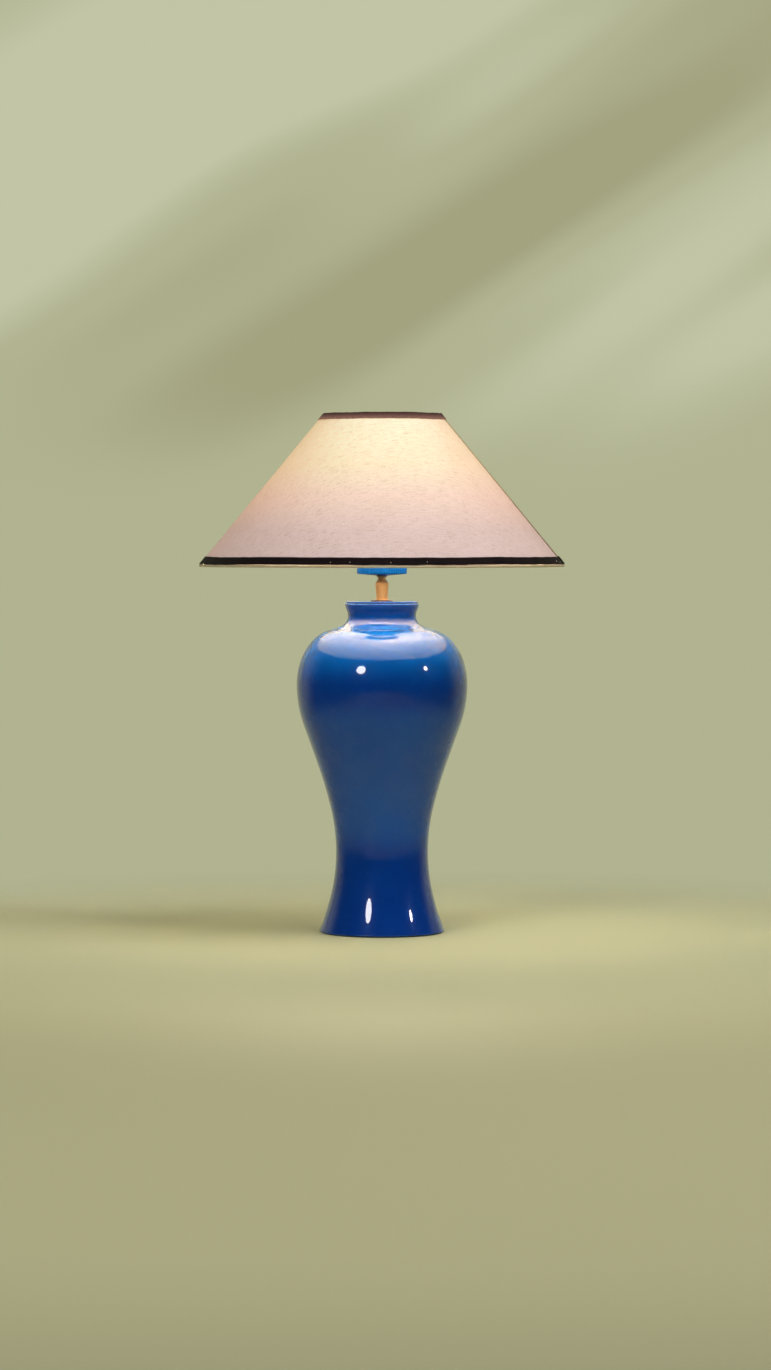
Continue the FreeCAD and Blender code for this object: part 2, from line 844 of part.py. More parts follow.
def make_bulb_glass():
    """The frosted glass of the bulb, blown to an even wall."""
    outside = glass_stations()
    inside = [inset(place, glass_wall) for place in outside]
    edges = smooth_edges(outside) + smooth_edges(inside)
    edges += polyline(outside[0][0], inside[0][0])
    edges += polyline(outside[-1][0], inside[-1][0])
    return revolved(edges)


def make_bulb_stem():
    """The flared glass stem and the rod that holds the filaments up."""
    neck = bulb_cap_r - bulb_cap_wall - glass_neck_gap - glass_wall - glass_neck_gap
    flare_z = glass_foot_z + stem_flare_height
    stem_z = glass_foot_z + stem_height
    rod_z = stem_z + stem_rod_height
    return turned((0, glass_foot_z), (neck, glass_foot_z), (stem_r, flare_z, stem_flare_height),
                  (stem_r, stem_z, stem_rod_r), (stem_rod_r, stem_z, stem_rod_r / 2),
                  (stem_rod_r, rod_z, stem_rod_r / 2), (0, rod_z))


def filament_low_z():
    """The height of the filaments' lower ends."""
    return glass_foot_z + stem_height + (stem_rod_height - filament_length) / 2


def filament_places():
    """The level direction of each filament."""
    return [azimuth(360 * index / filament_count) for index in range(filament_count)]


def make_bulb_filaments():
    """The upright filaments in a circle round the stem."""
    low = filament_low_z()
    sticks = []
    for direction in filament_places():
        foot = direction * filament_circle_r + vec(0, 0, low)
        sticks.append(Part.makeCylinder(filament_r, filament_length, foot, up))
    return Part.makeCompound(sticks)


def make_filament_wires():
    """The wires from the glass rod to the ends of each filament."""
    low = filament_low_z()
    wires = []
    span = filament_circle_r - stem_rod_r - filament_r
    for direction in filament_places():
        for height in (low + filament_wire_inset, low + filament_length - filament_wire_inset):
            start = direction * stem_rod_r + vec(0, 0, height)
            wires.append(Part.makeCylinder(filament_wire_r, span, start, direction))
    return Part.makeCompound(wires)


# Shade

def shade_r(height, out):
    """The radius at this height of the cone that lies this far outside the linen."""
    fall = (height - shade_foot_z) / shade_height
    slant = math.hypot(shade_height, shade_foot_r - shade_top_r)
    return shade_foot_r + (shade_top_r - shade_foot_r) * fall + out * slant / shade_height


def cone_layer(inside, outside, low, high):
    """A conical layer of the shade between two depths and two heights."""
    return turned((shade_r(low, inside), low), (shade_r(low, outside), low), (shade_r(high, outside), high),
                  (shade_r(high, inside), high))


def make_shade_linen():
    """The linen that faces the shade."""
    return cone_layer(-linen_thickness, 0, shade_foot_z, shade_top_z)


def make_shade_lining():
    """The stiff lining that the linen is laminated on."""
    return cone_layer(-skin_thickness, -linen_thickness, shade_foot_z, shade_top_z)


def make_seam_strip():
    """The lap where the ends of the linen meet."""
    layer = cone_layer(seam_glue_gap, seam_thickness, shade_foot_z + foot_ribbon_height,
                       shade_top_z - top_ribbon_height)
    slab = Part.makeBox(shade_foot_r + cut_overrun, seam_width, shade_height,
                        vec(0, -seam_width / 2, shade_foot_z))
    slab.rotate(origin, up, seam_azimuth - 90)
    return layer.common(slab)


def make_bottom_trim():
    """The ribbon round the foot of the shade."""
    return cone_layer(0, ribbon_thickness, shade_foot_z, shade_foot_z + foot_ribbon_height)


def make_top_trim():
    """The ribbon that is folded over the top edge of the shade."""
    low = shade_top_z - top_ribbon_height
    high = shade_top_z + ribbon_thickness
    fold_z = shade_top_z - top_ribbon_fold
    inner = -skin_thickness - ribbon_thickness
    return turned((shade_r(low, 0), low), (shade_r(low, ribbon_thickness), low),
                  (shade_r(high, ribbon_thickness), high, ribbon_thickness),
                  (shade_r(high, inner), high, ribbon_thickness),
                  (shade_r(fold_z, inner), fold_z), (shade_r(fold_z, -skin_thickness), fold_z),
                  (shade_r(shade_top_z, -skin_thickness), shade_top_z),
                  (shade_r(shade_top_z, 0), shade_top_z))


def make_bottom_ring():
    """The taped wire ring at the foot of the shade."""
    return Part.makeTorus(frame_ring_r, frame_tube_r, vec(0, 0, frame_z), up)


def make_top_ring():
    """The wire ring inside the top of the shade, just under the ribbon's fold."""
    height = shade_top_z - top_ribbon_fold - frame_tube_r - top_ring_gap
    radius = shade_r(height, -skin_thickness - top_ring_gap - frame_tube_r)
    return Part.makeTorus(radius, frame_tube_r, vec(0, 0, height), up)


def make_fitter_hub():
    """The hub of the shade's frame, which drops over the lampholder."""
    return ring(hub_bore_r, hub_r, hub_z, hub_top_z, hub_round)


def make_fitter_arm(index):
    """One straight arm from the hub to the bottom ring."""
    direction = azimuth(first_arm_azimuth + 360 * index / len(arm_names))
    start_r = (hub_bore_r + hub_r) / 2
    start = direction * start_r + vec(0, 0, frame_z)
    arm = Part.makeCylinder(arm_r, frame_ring_r - start_r, start, direction)
    return arm.cut(make_fitter_hub()).cut(make_bottom_ring())


# Leads

def make_lead(side, block, terminals):
    """The lead of one pole, from the terminal block up through the rod and the neck to its post."""
    post_x = side * (post_inner + lead_bite)
    bend_z = nipple_top_z + lead_above_nipple
    points = [
        vec(side * pole_pitch / 2, block_y + block_entry_depth, lead_z),
        vec(side * lead_offset, 0, lead_z),
        vec(side * lead_offset, 0, bend_z),
        vec(post_x, 0, cavity_top_z - post_height / 2),
    ]
    return lead(points, [lead_bend_r, lead_top_bend_r], lead_r).cut(block).cut(terminals)


terminal_block = make_terminal_block()
holder_terminals = make_holder_terminals()
pieces = {
    "felt_pad": make_felt_pad(),
    "foot_cover": make_foot_cover(),
    "terminal_block": terminal_block,
    "block_screw": make_block_screw(),
    "block_clamp_screws": make_block_clamp_screws(),
    "cord_grommet": make_cord_grommet(),
    "vase_body": make_vase_body(),
    "cushion_washer": ring(thread_hole_r, cushion_r, cushion_z, floor_z),
    "clamp_washer": ring(thread_hole_r, clamp_washer_r, clamp_washer_z, cushion_z),
    "lock_washer": ring(thread_hole_r, lock_washer_r, lock_washer_z, clamp_washer_z),
    "bottom_nut": make_bottom_nut(),
    "threaded_rod": make_threaded_rod(),
    "neck_plug": make_neck_plug(),
    "cap_gasket": make_cap_gasket(),
    "vase_cap": make_vase_cap(),
    "seat_washer": ring(thread_hole_r, seat_washer_r, cap_top_z, brass_z, seat_washer_round),
    "turned_neck": make_turned_neck(),
    "dish_washer": ring(nipple_hole_r, dish_washer_r, collar_z, dish_z),
    "holder_dish": make_holder_dish(),
    "holder_cap": make_holder_cap(),
    "lock_screw": make_lock_screw(),
    "holder_core": make_holder_core(),
    "holder_terminals": holder_terminals,
    "terminal_screws": make_terminal_screws(),
    "centre_contact": make_centre_contact(),
    "screw_shell": make_screw_shell(),
    "holder_skirt": make_holder_skirt(),
    "live_lead": make_lead(1, terminal_block, holder_terminals),
    "neutral_lead": make_lead(-1, terminal_block, holder_terminals),
    "slip_washer": make_slip_washer(),
    "clamp_ring": make_clamp_ring(),
    "bulb_contact": make_bulb_contact(),
    "bulb_insulator": make_bulb_insulator(),
    "bulb_cap": make_bulb_cap(),
    "bulb_glass": make_bulb_glass(),
    "bulb_stem": make_bulb_stem(),
    "bulb_filaments": make_bulb_filaments(),
    "filament_wires": make_filament_wires(),
    "fitter_hub": make_fitter_hub(),
    "bottom_ring": make_bottom_ring(),
    "top_ring": make_top_ring(),
    "shade_lining": make_shade_lining(),
    "shade_linen": make_shade_linen(),
    "seam_strip": make_seam_strip(),
    "bottom_trim": make_bottom_trim(),
    "top_trim": make_top_trim(),
}
for arm_index, arm_name in enumerate(arm_names):
    pieces["fitter_arm_" + arm_name] = make_fitter_arm(arm_index)

for name, shape in pieces.items():
    shape.exportStep("parts/" + name + ".step")
    print(name, "solids", len(shape.Solids), "valid", shape.isValid(), "volume", round(shape.Volume, 2))
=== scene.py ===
import logging
import math
from dataclasses import dataclass
from enum import Enum
from typing import Any, Sequence

import bmesh
import bpy
from mathutils import Matrix, Vector, noise


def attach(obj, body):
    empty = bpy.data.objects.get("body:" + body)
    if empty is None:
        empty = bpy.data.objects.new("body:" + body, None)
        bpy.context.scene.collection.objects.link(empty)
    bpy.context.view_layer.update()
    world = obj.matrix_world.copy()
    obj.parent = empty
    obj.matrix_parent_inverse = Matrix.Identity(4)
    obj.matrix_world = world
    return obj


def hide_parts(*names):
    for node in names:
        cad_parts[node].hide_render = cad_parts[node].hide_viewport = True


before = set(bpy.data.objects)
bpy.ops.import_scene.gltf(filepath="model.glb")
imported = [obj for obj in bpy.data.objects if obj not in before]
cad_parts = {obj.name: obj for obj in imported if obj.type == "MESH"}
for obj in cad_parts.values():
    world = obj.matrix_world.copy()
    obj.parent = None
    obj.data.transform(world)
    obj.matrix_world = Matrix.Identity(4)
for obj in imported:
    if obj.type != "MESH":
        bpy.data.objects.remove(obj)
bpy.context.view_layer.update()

# Table lamp: a glazed vase, a turned brass neck, a lampholder with its bulb, and a cone shade of linen.
# Metres, +Z up, the front faces -Y. An azimuth is measured from the front towards +X.

log = logging.getLogger("table_lamp")

Pair = tuple[float, float]
Triple = tuple[float, float, float]
Colour = tuple[float, float, float, float]
Socket = bpy.types.NodeSocket
Mesh = bmesh.types.BMesh
BLACK: Colour = (0.0, 0.0, 0.0, 1.0)
WHITE: Colour = (1.0, 1.0, 1.0, 1.0)
CLOTH = "Cloth"


class Body(Enum):
    """The moving bodies of the lamp."""

    BASE = "base"
    RING_LIFT = "ring_lift"
    CLAMP_RING = "clamp_ring"
    BULB_LIFT = "bulb_lift"
    BULB = "bulb"
    SHADE = "shade"


class Blend(Enum):
    """How two colours are mixed."""

    MIX = "MIX"
    MULTIPLY = "MULTIPLY"


def paint(red: float, green: float, blue: float) -> Colour:
    """A colour for a shader.

    Args:
        red: Red from 0 to 255, as a screen shows it.
        green: Green from 0 to 255.
        blue: Blue from 0 to 255.

    Returns:
        The colour in linear light, with an alpha of one.
    """
    def linear(part: float) -> float:
        """One channel in linear light."""
        share = part / 255
        return share / 12.92 if share <= 0.04045 else ((share + 0.055) / 1.055) ** 2.4

    return linear(red), linear(green), linear(blue), 1.0


def azimuth(degrees: float) -> Vector:
    """The level direction at this many degrees from the front towards +X."""
    return Vector((math.sin(math.radians(degrees)), -math.cos(math.radians(degrees)), 0.0))


def stored(name: str, mesh: Mesh) -> bpy.types.Mesh:
    """Turns a mesh under construction into an object's data.

    Args:
        name: The name of the data.
        mesh: The mesh, which is used up.

    Returns:
        The data.
    """
    data = bpy.data.meshes.new(name)
    mesh.to_mesh(data)
    mesh.free()
    return data


def placed(data: bpy.types.ID) -> bpy.types.Object:
    """Puts data into the scene.

    Args:
        data: A mesh, a lamp or a camera.

    Returns:
        The object that shows it, under the same name.
    """
    made = bpy.data.objects.new(data.name, data)
    bpy.context.scene.collection.objects.link(made)
    return made


class Value:
    """A number socket that works in Python expressions."""

    def __init__(self, shader: "Shader", socket: Socket) -> None:
        """Wraps a socket of this shader."""
        self.shader = shader
        self.socket = socket

    def __add__(self, other: Any) -> "Value":
        """The sum."""
        return self.shader.math("ADD", self, other)

    __radd__ = __add__

    def __sub__(self, other: Any) -> "Value":
        """The difference."""
        return self.shader.math("SUBTRACT", self, other)

    def __rsub__(self, other: Any) -> "Value":
        """The difference from a plain number."""
        return self.shader.math("SUBTRACT", other, self)

    def __mul__(self, other: Any) -> "Value":
        """The product."""
        return self.shader.math("MULTIPLY", self, other)

    __rmul__ = __mul__

    def __truediv__(self, other: Any) -> "Value":
        """The quotient."""
        return self.shader.math("DIVIDE", self, other)

    def __pow__(self, other: float) -> "Value":
        """The power."""
        return self.shader.math("POWER", self, other)

    def wave(self, pitch: float) -> "Value":
        """The sine wave with this distance from crest to crest."""
        return self.shader.math("SINE", self * (math.tau / pitch))

    def fraction(self) -> "Value":
        """What is left after the whole number."""
        return self.shader.math("FRACT", self)

    def size(self) -> "Value":
        """The number without its sign."""
        return self.shader.math("ABSOLUTE", self)

    def span(self, low: float, high: float, to_low: float = 0.0, to_high: float = 1.0) -> "Value":
        """The number moved smoothly, from to_low at and below low up to to_high at and above high."""
        limits = {"Value": self, "From Min": low, "From Max": high, "To Min": to_low, "To Max": to_high}
        return self.shader.out("MapRange", limits, "Result", interpolation_type="SMOOTHSTEP", clamp=True)


class Shader:
    """A node tree, and the few ways in which the finishes fill it."""

    tree: bpy.types.NodeTree

    def start(self, tree: bpy.types.NodeTree) -> None:
        """Starts afresh on this tree."""
        self.tree = tree
        tree.nodes.clear()

    def new_material(self, name: str) -> bpy.types.Material:
        """Starts on the tree of a new material.

        Args:
            name: The material's name.

        Returns:
            The material.
        """
        made = bpy.data.materials.new(name)
        made.use_nodes = True
        self.start(made.node_tree)
        return made

    def node(self, kind: str, values: dict[Any, Any], **settings: Any) -> bpy.types.Node:
        """Adds a node.

        Args:
            kind: The node's type without the ShaderNode in front.
            values: A number, colour or link for each of its inputs, by name or place.
            **settings: Its properties, set first.

        Returns:
            The new node.
        """
        node = self.tree.nodes.new("ShaderNode" + kind)
        for key, setting in settings.items():
            setattr(node, key, setting)
        for key, value in values.items():
            source = value.socket if isinstance(value, Value) else value
            if isinstance(source, Socket):
                self.tree.links.new(source, node.inputs[key])
            else:
                node.inputs[key].default_value = source
        return node

    def out(self, kind: str, values: dict[Any, Any], output: Any, **settings: Any) -> Value:
        """Adds a node like node does, and gives the number that leaves it at this output."""
        return Value(self, self.node(kind, values, **settings).outputs[output])

    def end(self, kind: str, surface: Socket) -> None:
        """Ends the tree in the output of a Material, World or Light."""
        self.node("Output" + kind, {"Surface": surface})

    def math(self, operation: str, *values: Any) -> Value:
        """The result of a Math node on sockets and numbers."""
        return self.out("Math", dict(enumerate(values)), 0, operation=operation)

    def place(self) -> Socket:
        """The object's own coordinates."""
        return self.node("TexCoord", {}).outputs["Object"]

    def cloth(self) -> Socket:
        """The piece's own cloth coordinates."""
        return self.node("UVMap", {}, uv_map=CLOTH).outputs["UV"]

    def parts(self, vector: Socket) -> list[Value]:
        """The three numbers of a vector."""
        node = self.node("SeparateXYZ", {0: vector})
        return [Value(self, socket) for socket in node.outputs]

    def radius(self, place: Socket) -> Value:
        """The distance from the lamp's axis."""
        across, along, _ = self.parts(place)
        return (across * across + along * along) ** 0.5

    def noise(self, place: Socket, scale: float, detail: float = 3.0, rough: float = 0.55,
              stretch: Triple | None = None) -> Value:
        """Soft noise.

        Args:
            place: The coordinates.
            scale: How many patches there are in a metre.
            detail: How many finer layers are added.
            rough: How strong the finer layers are.
            stretch: A factor on each coordinate.

        Returns:
            The noise, mostly between 0.3 and 0.7.
        """
        if stretch:
            place = self.node("Mapping", {"Vector": place, "Scale": stretch}).outputs[0]
        values = {"Vector": place, "Scale": scale, "Detail": detail, "Roughness": rough}
        return self.out("TexNoise", values, "Fac")

    def threads(self, along_u: float, along_v: float, detail: float = 2.0, rough: float = 0.6) -> Value:
        """Noise drawn out into threads, with these numbers of patches in a metre of cloth."""
        return self.noise(self.cloth(), 1.0, detail, rough, (along_u, along_v, 1.0))

    def mix(self, first: Any, second: Any, share: Any, blend: Blend = Blend.MIX) -> Socket:
        """The first colour with a share of the second mixed in."""
        sides = {0: share, 6: first, 7: second}
        return self.node("Mix", sides, data_type="RGBA", blend_type=blend.value).outputs[2]

    def ramp(self, value: Value, stops: Sequence[tuple[float, Colour]]) -> Socket:
        """A colour read from a ramp.

        Args:
            value: The place on the ramp.
            stops: The ramp's places and their colours.

        Returns:
            The colour's socket.
        """
        node = self.node("ValToRGB", {0: value})
        elements = node.color_ramp.elements
        while len(elements) < len(stops):
            elements.new(0.5)
        for element, (place, colour) in zip(elements, stops):
            element.position, element.color = place, colour
        return node.outputs[0]

    def principled(self, colour: Any, roughness: Value, relief: tuple[Value, float, float],
                   others: dict[str, Any]) -> Socket:
        """The main shader.

        Args:
            colour: Its base colour.
            roughness: Its roughness.
            relief: A height of about 0 to 1, how many metres a height of one is, and the share that shows.
            others: Its other inputs.

        Returns:
            The shader's socket.
        """
        height, depth, strength = relief
        bump = self.node("Bump", {"Height": height, "Distance": depth, "Strength": strength}).outputs[0]
        values = {"Base Color": colour, "Roughness": roughness, "Normal": bump, **others}
        return self.node("BsdfPrincipled", values).outputs[0]


@dataclass
class Finish(Shader):
    """The shader of a surface: the slot that it belongs to, its main colour and its own name."""

    slot: str
    colour: Colour
    name: str = ""

    def material(self) -> bpy.types.Material:
        """The material, made the first time that it is asked for.

        Returns:
            The material.
        """
        title = (self.name or self.slot) + "_finish"
        found = bpy.data.materials.get(title)
        if found is None:
            found = self.new_material(title)
            self.fill()
        return found

    def fill(self) -> None:
        """Fills the tree."""
        raise NotImplementedError

    def surface(self, colour: Any, roughness: Value, relief: tuple[Value, float, float],
                others: dict[str, Any]) -> None:
        """Ends the tree in the main shader, which is given what principled asks for."""
        self.end("Material", self.principled(colour, roughness, relief, others))


@dataclass
class Glaze(Finish):
    """A glossy glaze or enamel: deeper in bands of painted reflection, with small pinholes and a faint
    orange peel.

    Each band has the heights at which it starts, is full, starts to thin and ends.
    """

    deep: Colour = BLACK
    thin: Colour = WHITE
    edges: tuple[float, ...] = ()
    edge_width: float = 0.0012
    painted_reflection_bands: tuple[tuple[float, float, float, float], ...] = ()
    painted_reflection_share: float = 0.85
    cloud_share: float = 0.2
    roughness: float = 0.26
    haze: float = 0.03
    coat: float = 1.0
    coat_roughness: float = 0.012
    coat_index: float = 1.39
    peel: float = 0.000003

    def fill(self) -> None:
        """The glaze under its clear coat."""
        place = self.place()
        height = self.parts(place)[2]
        clouds = self.noise(place, 9.0, 2.0).span(0.3, 0.7)
        colour = self.mix(self.colour, self.deep, clouds * self.cloud_share)
        # Painted reflection: the glaze is deeper in bands at the given heights, where dark surroundings
        # would be mirrored.
        for start, full, thinning, end in self.painted_reflection_bands:
            painted_reflection = height.span(start, full) * height.span(end, thinning)
            colour = self.mix(colour, self.deep, painted_reflection * self.painted_reflection_share)
        for edge in self.edges:
            worn = (height - edge).size().span(0.0, self.edge_width, 1.0, 0.0)
            wear = self.noise(place, 160.0).span(0.35, 0.6, 0.35, 1.0)
            colour = self.mix(colour, self.thin, worn * wear)
        pinholes = self.noise(place, 420.0, 1.0).span(0.74, 0.8)
        colour = self.mix(colour, self.deep, pinholes * 0.6)
        dust = self.noise(place, 60.0, 4.0).span(0.45, 0.75)
        roughness = dust * 0.06 + pinholes * 0.2 + self.roughness
        ripple = self.noise(place, 70.0, 1.0) + self.noise(place, 900.0, 2.0) * 0.08 - pinholes * 2.0
        self.surface(colour, roughness, (ripple, self.peel, 1.0), {
            "Specular IOR Level": self.haze, "Coat Weight": self.coat, "Coat Roughness": self.coat_roughness,
            "Coat IOR": self.coat_index})


@dataclass
class Turned(Finish):
    """Bare metal off the lathe: fine rings, a satin sheen and darker handling marks."""

    tarnish: Colour = BLACK
    roughness: float = 0.3
    rings: float = 2600.0
    ring_depth: float = 0.00003
    metallic: float = 1.0

    def fill(self) -> None:
        """The turned metal."""
        place = self.place()
        sweep = self.radius(place) + self.parts(place)[2]
        lines = {"W": sweep, "Scale": self.rings, "Detail": 2.0}
        rings = self.out("TexNoise", lines, "Fac", noise_dimensions="1D")
        handling = self.noise(place, 110.0, 4.0).span(0.48, 0.72)
        stain = self.noise(place, 340.0, 3.0).span(0.56, 0.7)
        colour = self.mix(self.colour, self.tarnish, handling * 0.3 + stain * 0.12)
        roughness = handling * 0.12 + rings.span(0.3, 0.7, -0.06, 0.06) + self.roughness
        self.surface(colour, roughness, (rings, self.ring_depth, 0.6), {"Metallic": self.metallic})


@dataclass
class Moulded(Finish):
    """Moulded plastic, rubber or fired ceramic: a fine texture, small flow marks and scuffs."""

    marked: Colour = BLACK
    roughness: float = 0.4
    grain_scale: float = 1800.0
    grain_depth: float = 0.00002
    coat: float = 0.0
    coat_roughness: float = 0.08
    metallic: float = 0.0

    def fill(self) -> None:
        """The moulded surface."""
        place = self.place()
        grain = self.noise(place, self.grain_scale, 2.0)
        flow = self.noise(place, 45.0, 3.0, stretch=(1.0, 1.0, 0.25)).span(0.45, 0.75)
        scuffs = self.noise(place, 260.0, 4.0, 0.7, (1.0, 0.3, 1.0)).span(0.6, 0.72)
        colour = self.mix(self.colour, self.marked, flow * 0.14 + scuffs * 0.22)
        roughness = grain.span(0.3, 0.7, -0.05, 0.05) + scuffs * 0.15 + self.roughness
        self.surface(colour, roughness, (grain, self.grain_depth, 0.7), {
            "Metallic": self.metallic, "Coat Weight": self.coat, "Coat Roughness": self.coat_roughness})


@dataclass
class Glowing(Finish):
    """Frosted glass, a lamp's filament or another piece that shines by itself."""

    glow: Colour = WHITE
    strength: float = 4.0
    roughness: float = 0.4
    ember: Colour = paint(40, 20, 8)
    low: float = 0.45
    high: float = 0.53
    frost_depth: float = 0.00002

    def fill(self) -> None:
        """The shining surface, dimmer towards its cap."""
        place = self.place()
        frost = self.noise(place, 1500.0, 2.0)
        level = self.parts(place)[2].span(self.low, self.high, 0.45, 1.0)
        cloud = self.noise(place, 60.0, 2.0).span(0.3, 0.7, 0.92, 1.0)
        light = self.mix(self.ember, self.glow, level * cloud)
        colour = self.mix(self.colour, self.glow, frost * 0.2)
        roughness = frost.span(0.3, 0.7, -0.06, 0.06) + self.roughness
        self.surface(colour, roughness, (frost, self.frost_depth, 0.5),
                     {"Emission Color": light, "Emission Strength": self.strength})


@dataclass
class Linen(Finish):
    """Plain-woven slubby linen with the lamp's light behind it, as a painted glow.

    The glow is read from its colours up the shade, each with its share of the way from the foot to the top,
    and is painted warmer and dimmer towards the left and right sides.
    """

    shadow: Colour = paint(176, 150, 138)
    fleck: Colour = paint(150, 122, 98)
    pitch: float = 0.0009
    thread_wander: float = 0.004
    relief: float = 0.00022
    glow: float = 1.0
    glow_foot: float = 0.4046
    glow_top: float = 0.5685
    light: tuple[tuple[float, Colour], ...] = (
        (0.0, (0.050, 0.030, 0.024, 1.0)), (0.22, (0.115, 0.064, 0.044, 1.0)),
        (0.45, (0.310, 0.200, 0.095, 1.0)), (0.66, (0.405, 0.365, 0.120, 1.0)),
        (0.86, (0.425, 0.425, 0.165, 1.0)), (1.0, (0.415, 0.420, 0.185, 1.0)))
    painted_side_tint: Colour = (1.0, 0.72, 0.5, 1.0)
    thick: Colour = (0.58, 0.50, 0.38, 1.0)
    sheen_tint: Colour = (1.0, 0.62, 0.42, 1.0)

    def fill(self) -> None:
        """The linen, which lets less light through at its slubs and flecks."""
        cloth = self.cloth()
        across, along, _ = self.parts(cloth)
        wander = self.noise(cloth, 60.0, 2.0) * self.thread_wander
        weave = (across + wander).wave(self.pitch) * (along + wander).wave(self.pitch)
        warp_slubs, weft_slubs = self.threads(760.0, 100.0), self.threads(80.0, 740.0)
        streaks = warp_slubs.span(0.46, 0.68) * 0.24 + weft_slubs.span(0.46, 0.66) * 0.6
        long_flecks = self.threads(120.0, 1000.0, 1.0, 0.5).span(0.64, 0.71)
        short_flecks = self.threads(900.0, 180.0, 1.0, 0.5).span(0.67, 0.73)
        flecks = long_flecks + short_flecks * 0.7
        cloudy = self.noise(cloth, 22.0, 3.0).span(0.35, 0.7)
        colour = self.mix(self.colour, self.shadow, streaks * 0.42 + cloudy * 0.12)
        place = self.place()
        sideways, _, height = self.parts(place)
        # Painted light: the glow is warmer and dimmer towards the shade's left and right sides.
        aside = (sideways / self.radius(place)).size().span(0.35, 1.0)
        light = self.ramp((height - self.glow_foot) / (self.glow_top - self.glow_foot), self.light)
        light = self.mix(light, self.painted_side_tint, aside, Blend.MULTIPLY)
        thick = self.mix(WHITE, self.thick, streaks * 0.42 + flecks * 0.5)
        light = self.mix(light, thick, 1.0, Blend.MULTIPLY)
        colour = self.mix(colour, self.fleck, flecks * 0.4)
        relief = weave * 0.35 + warp_slubs * 0.9 + weft_slubs * 0.9
        self.surface(colour, streaks * 0.06 + 0.86, (relief, self.relief, 0.55), {
            "Specular IOR Level": 0.2, "Sheen Weight": 0.3, "Sheen Roughness": 0.3,
            "Sheen Tint": self.sheen_tint, "Emission Color": light, "Emission Strength": self.glow})


@dataclass
class Ribbon(Finish):
    """Ribbed dark ribbon, with a little of the lamp's light coming through between two heights."""

    faded: Colour = paint(62, 44, 40)
    rib: float = 0.0011
    thread: float = 0.0005
    relief: float = 0.00012
    glow: Colour = BLACK
    glow_low: float = 0.0
    glow_high: float = 1.0

    def fill(self) -> None:
        """The ribbon's ribs, its lint and its worn places."""
        cloth, place = self.cloth(), self.place()
        across, along, _ = self.parts(cloth)
        ribs = across.wave(self.rib) * 0.5 + 0.5
        threads = along.wave(self.thread) * 0.5 + 0.5
        lint = self.noise(place, 700.0, 3.0).span(0.6, 0.75)
        worn = self.noise(cloth, 70.0, 3.0).span(0.4, 0.7)
        colour = self.mix(self.colour, self.faded, worn * 0.25 + ribs * 0.2 + lint * 0.5)
        through = self.parts(place)[2].span(self.glow_low, self.glow_high, 1.0, 0.12)
        weave = self.threads(900.0, 300.0).span(0.3, 0.7, 0.6, 1.0)
        self.surface(colour, ribs * -0.1 + 0.75, (ribs + threads * 0.3, self.relief, 0.8), {
            "Specular IOR Level": 0.06, "Sheen Weight": 0.01, "Sheen Roughness": 0.4,
            "Emission Color": self.mix(BLACK, self.glow, through * weave), "Emission Strength": 1.0})


@dataclass
class Tape(Finish):
    """Cotton tape wound round the frame's ring."""

    soiled: Colour = paint(170, 150, 118)
    width: float = 0.006
    girth: float = 0.0091
    pitch: float = 0.0006
    relief: float = 0.00018

    def fill(self) -> None:
        """The tape's laps and its weave."""
        around, along, _ = self.parts(self.cloth())
        lap = (along / self.width + around / self.girth).fraction()
        edge = lap.span(0.0, 0.12, 1.0, 0.0)
        weave = around.wave(self.pitch) * along.wave(self.pitch)
        dirt = self.noise(self.place(), 60.0, 3.0).span(0.4, 0.7)
        colour = self.mix(self.colour, self.soiled, edge * 0.6 + dirt * 0.35)
        self.surface(colour, weave * 0.04 + 0.85, (lap * 0.8 + weave * 0.2, self.relief, 0.7),
                     {"Specular IOR Level": 0.2})


@dataclass
class Lining(Finish):
    """The stiff lining inside the shade, with the glue's faint clouding and the cloth's print-through."""

    tint: Colour = paint(238, 222, 196)
    relief: float = 0.0001

    def fill(self) -> None:
        """The lining's clouds and its print-through."""
        clouds = self.noise(self.cloth(), 30.0, 3.0).span(0.35, 0.7)
        print_through = self.threads(50.0, 700.0)
        colour = self.mix(self.colour, self.tint, clouds * 0.6 + print_through * 0.25)
        self.surface(colour, clouds * 0.1 + 0.55, (print_through, self.relief, 0.4),
                     {"Specular IOR Level": 0.3})


@dataclass
class Felt(Finish):
    """Pressed wool felt."""

    fluff: Colour = paint(70, 74, 84)
    relief: float = 0.0003

    def fill(self) -> None:
        """The felt's fibres and tufts."""
        place = self.place()
        fibres = self.noise(place, 900.0, 5.0, 0.75)
        tufts = self.noise(place, 120.0, 4.0, 0.7)
        fluffy = fibres.span(0.4, 0.7) * 0.6 + tufts.span(0.4, 0.7) * 0.2
        colour = self.mix(self.colour, self.fluff, fluffy)
        self.surface(colour, tufts * 0.05 + 0.93, (fibres + tufts, self.relief, 0.8), {
            "Specular IOR Level": 0.1, "Sheen Weight": 0.3, "Sheen Roughness": 0.6})


Dress = tuple[tuple[Finish, tuple[str, ...]], ...]
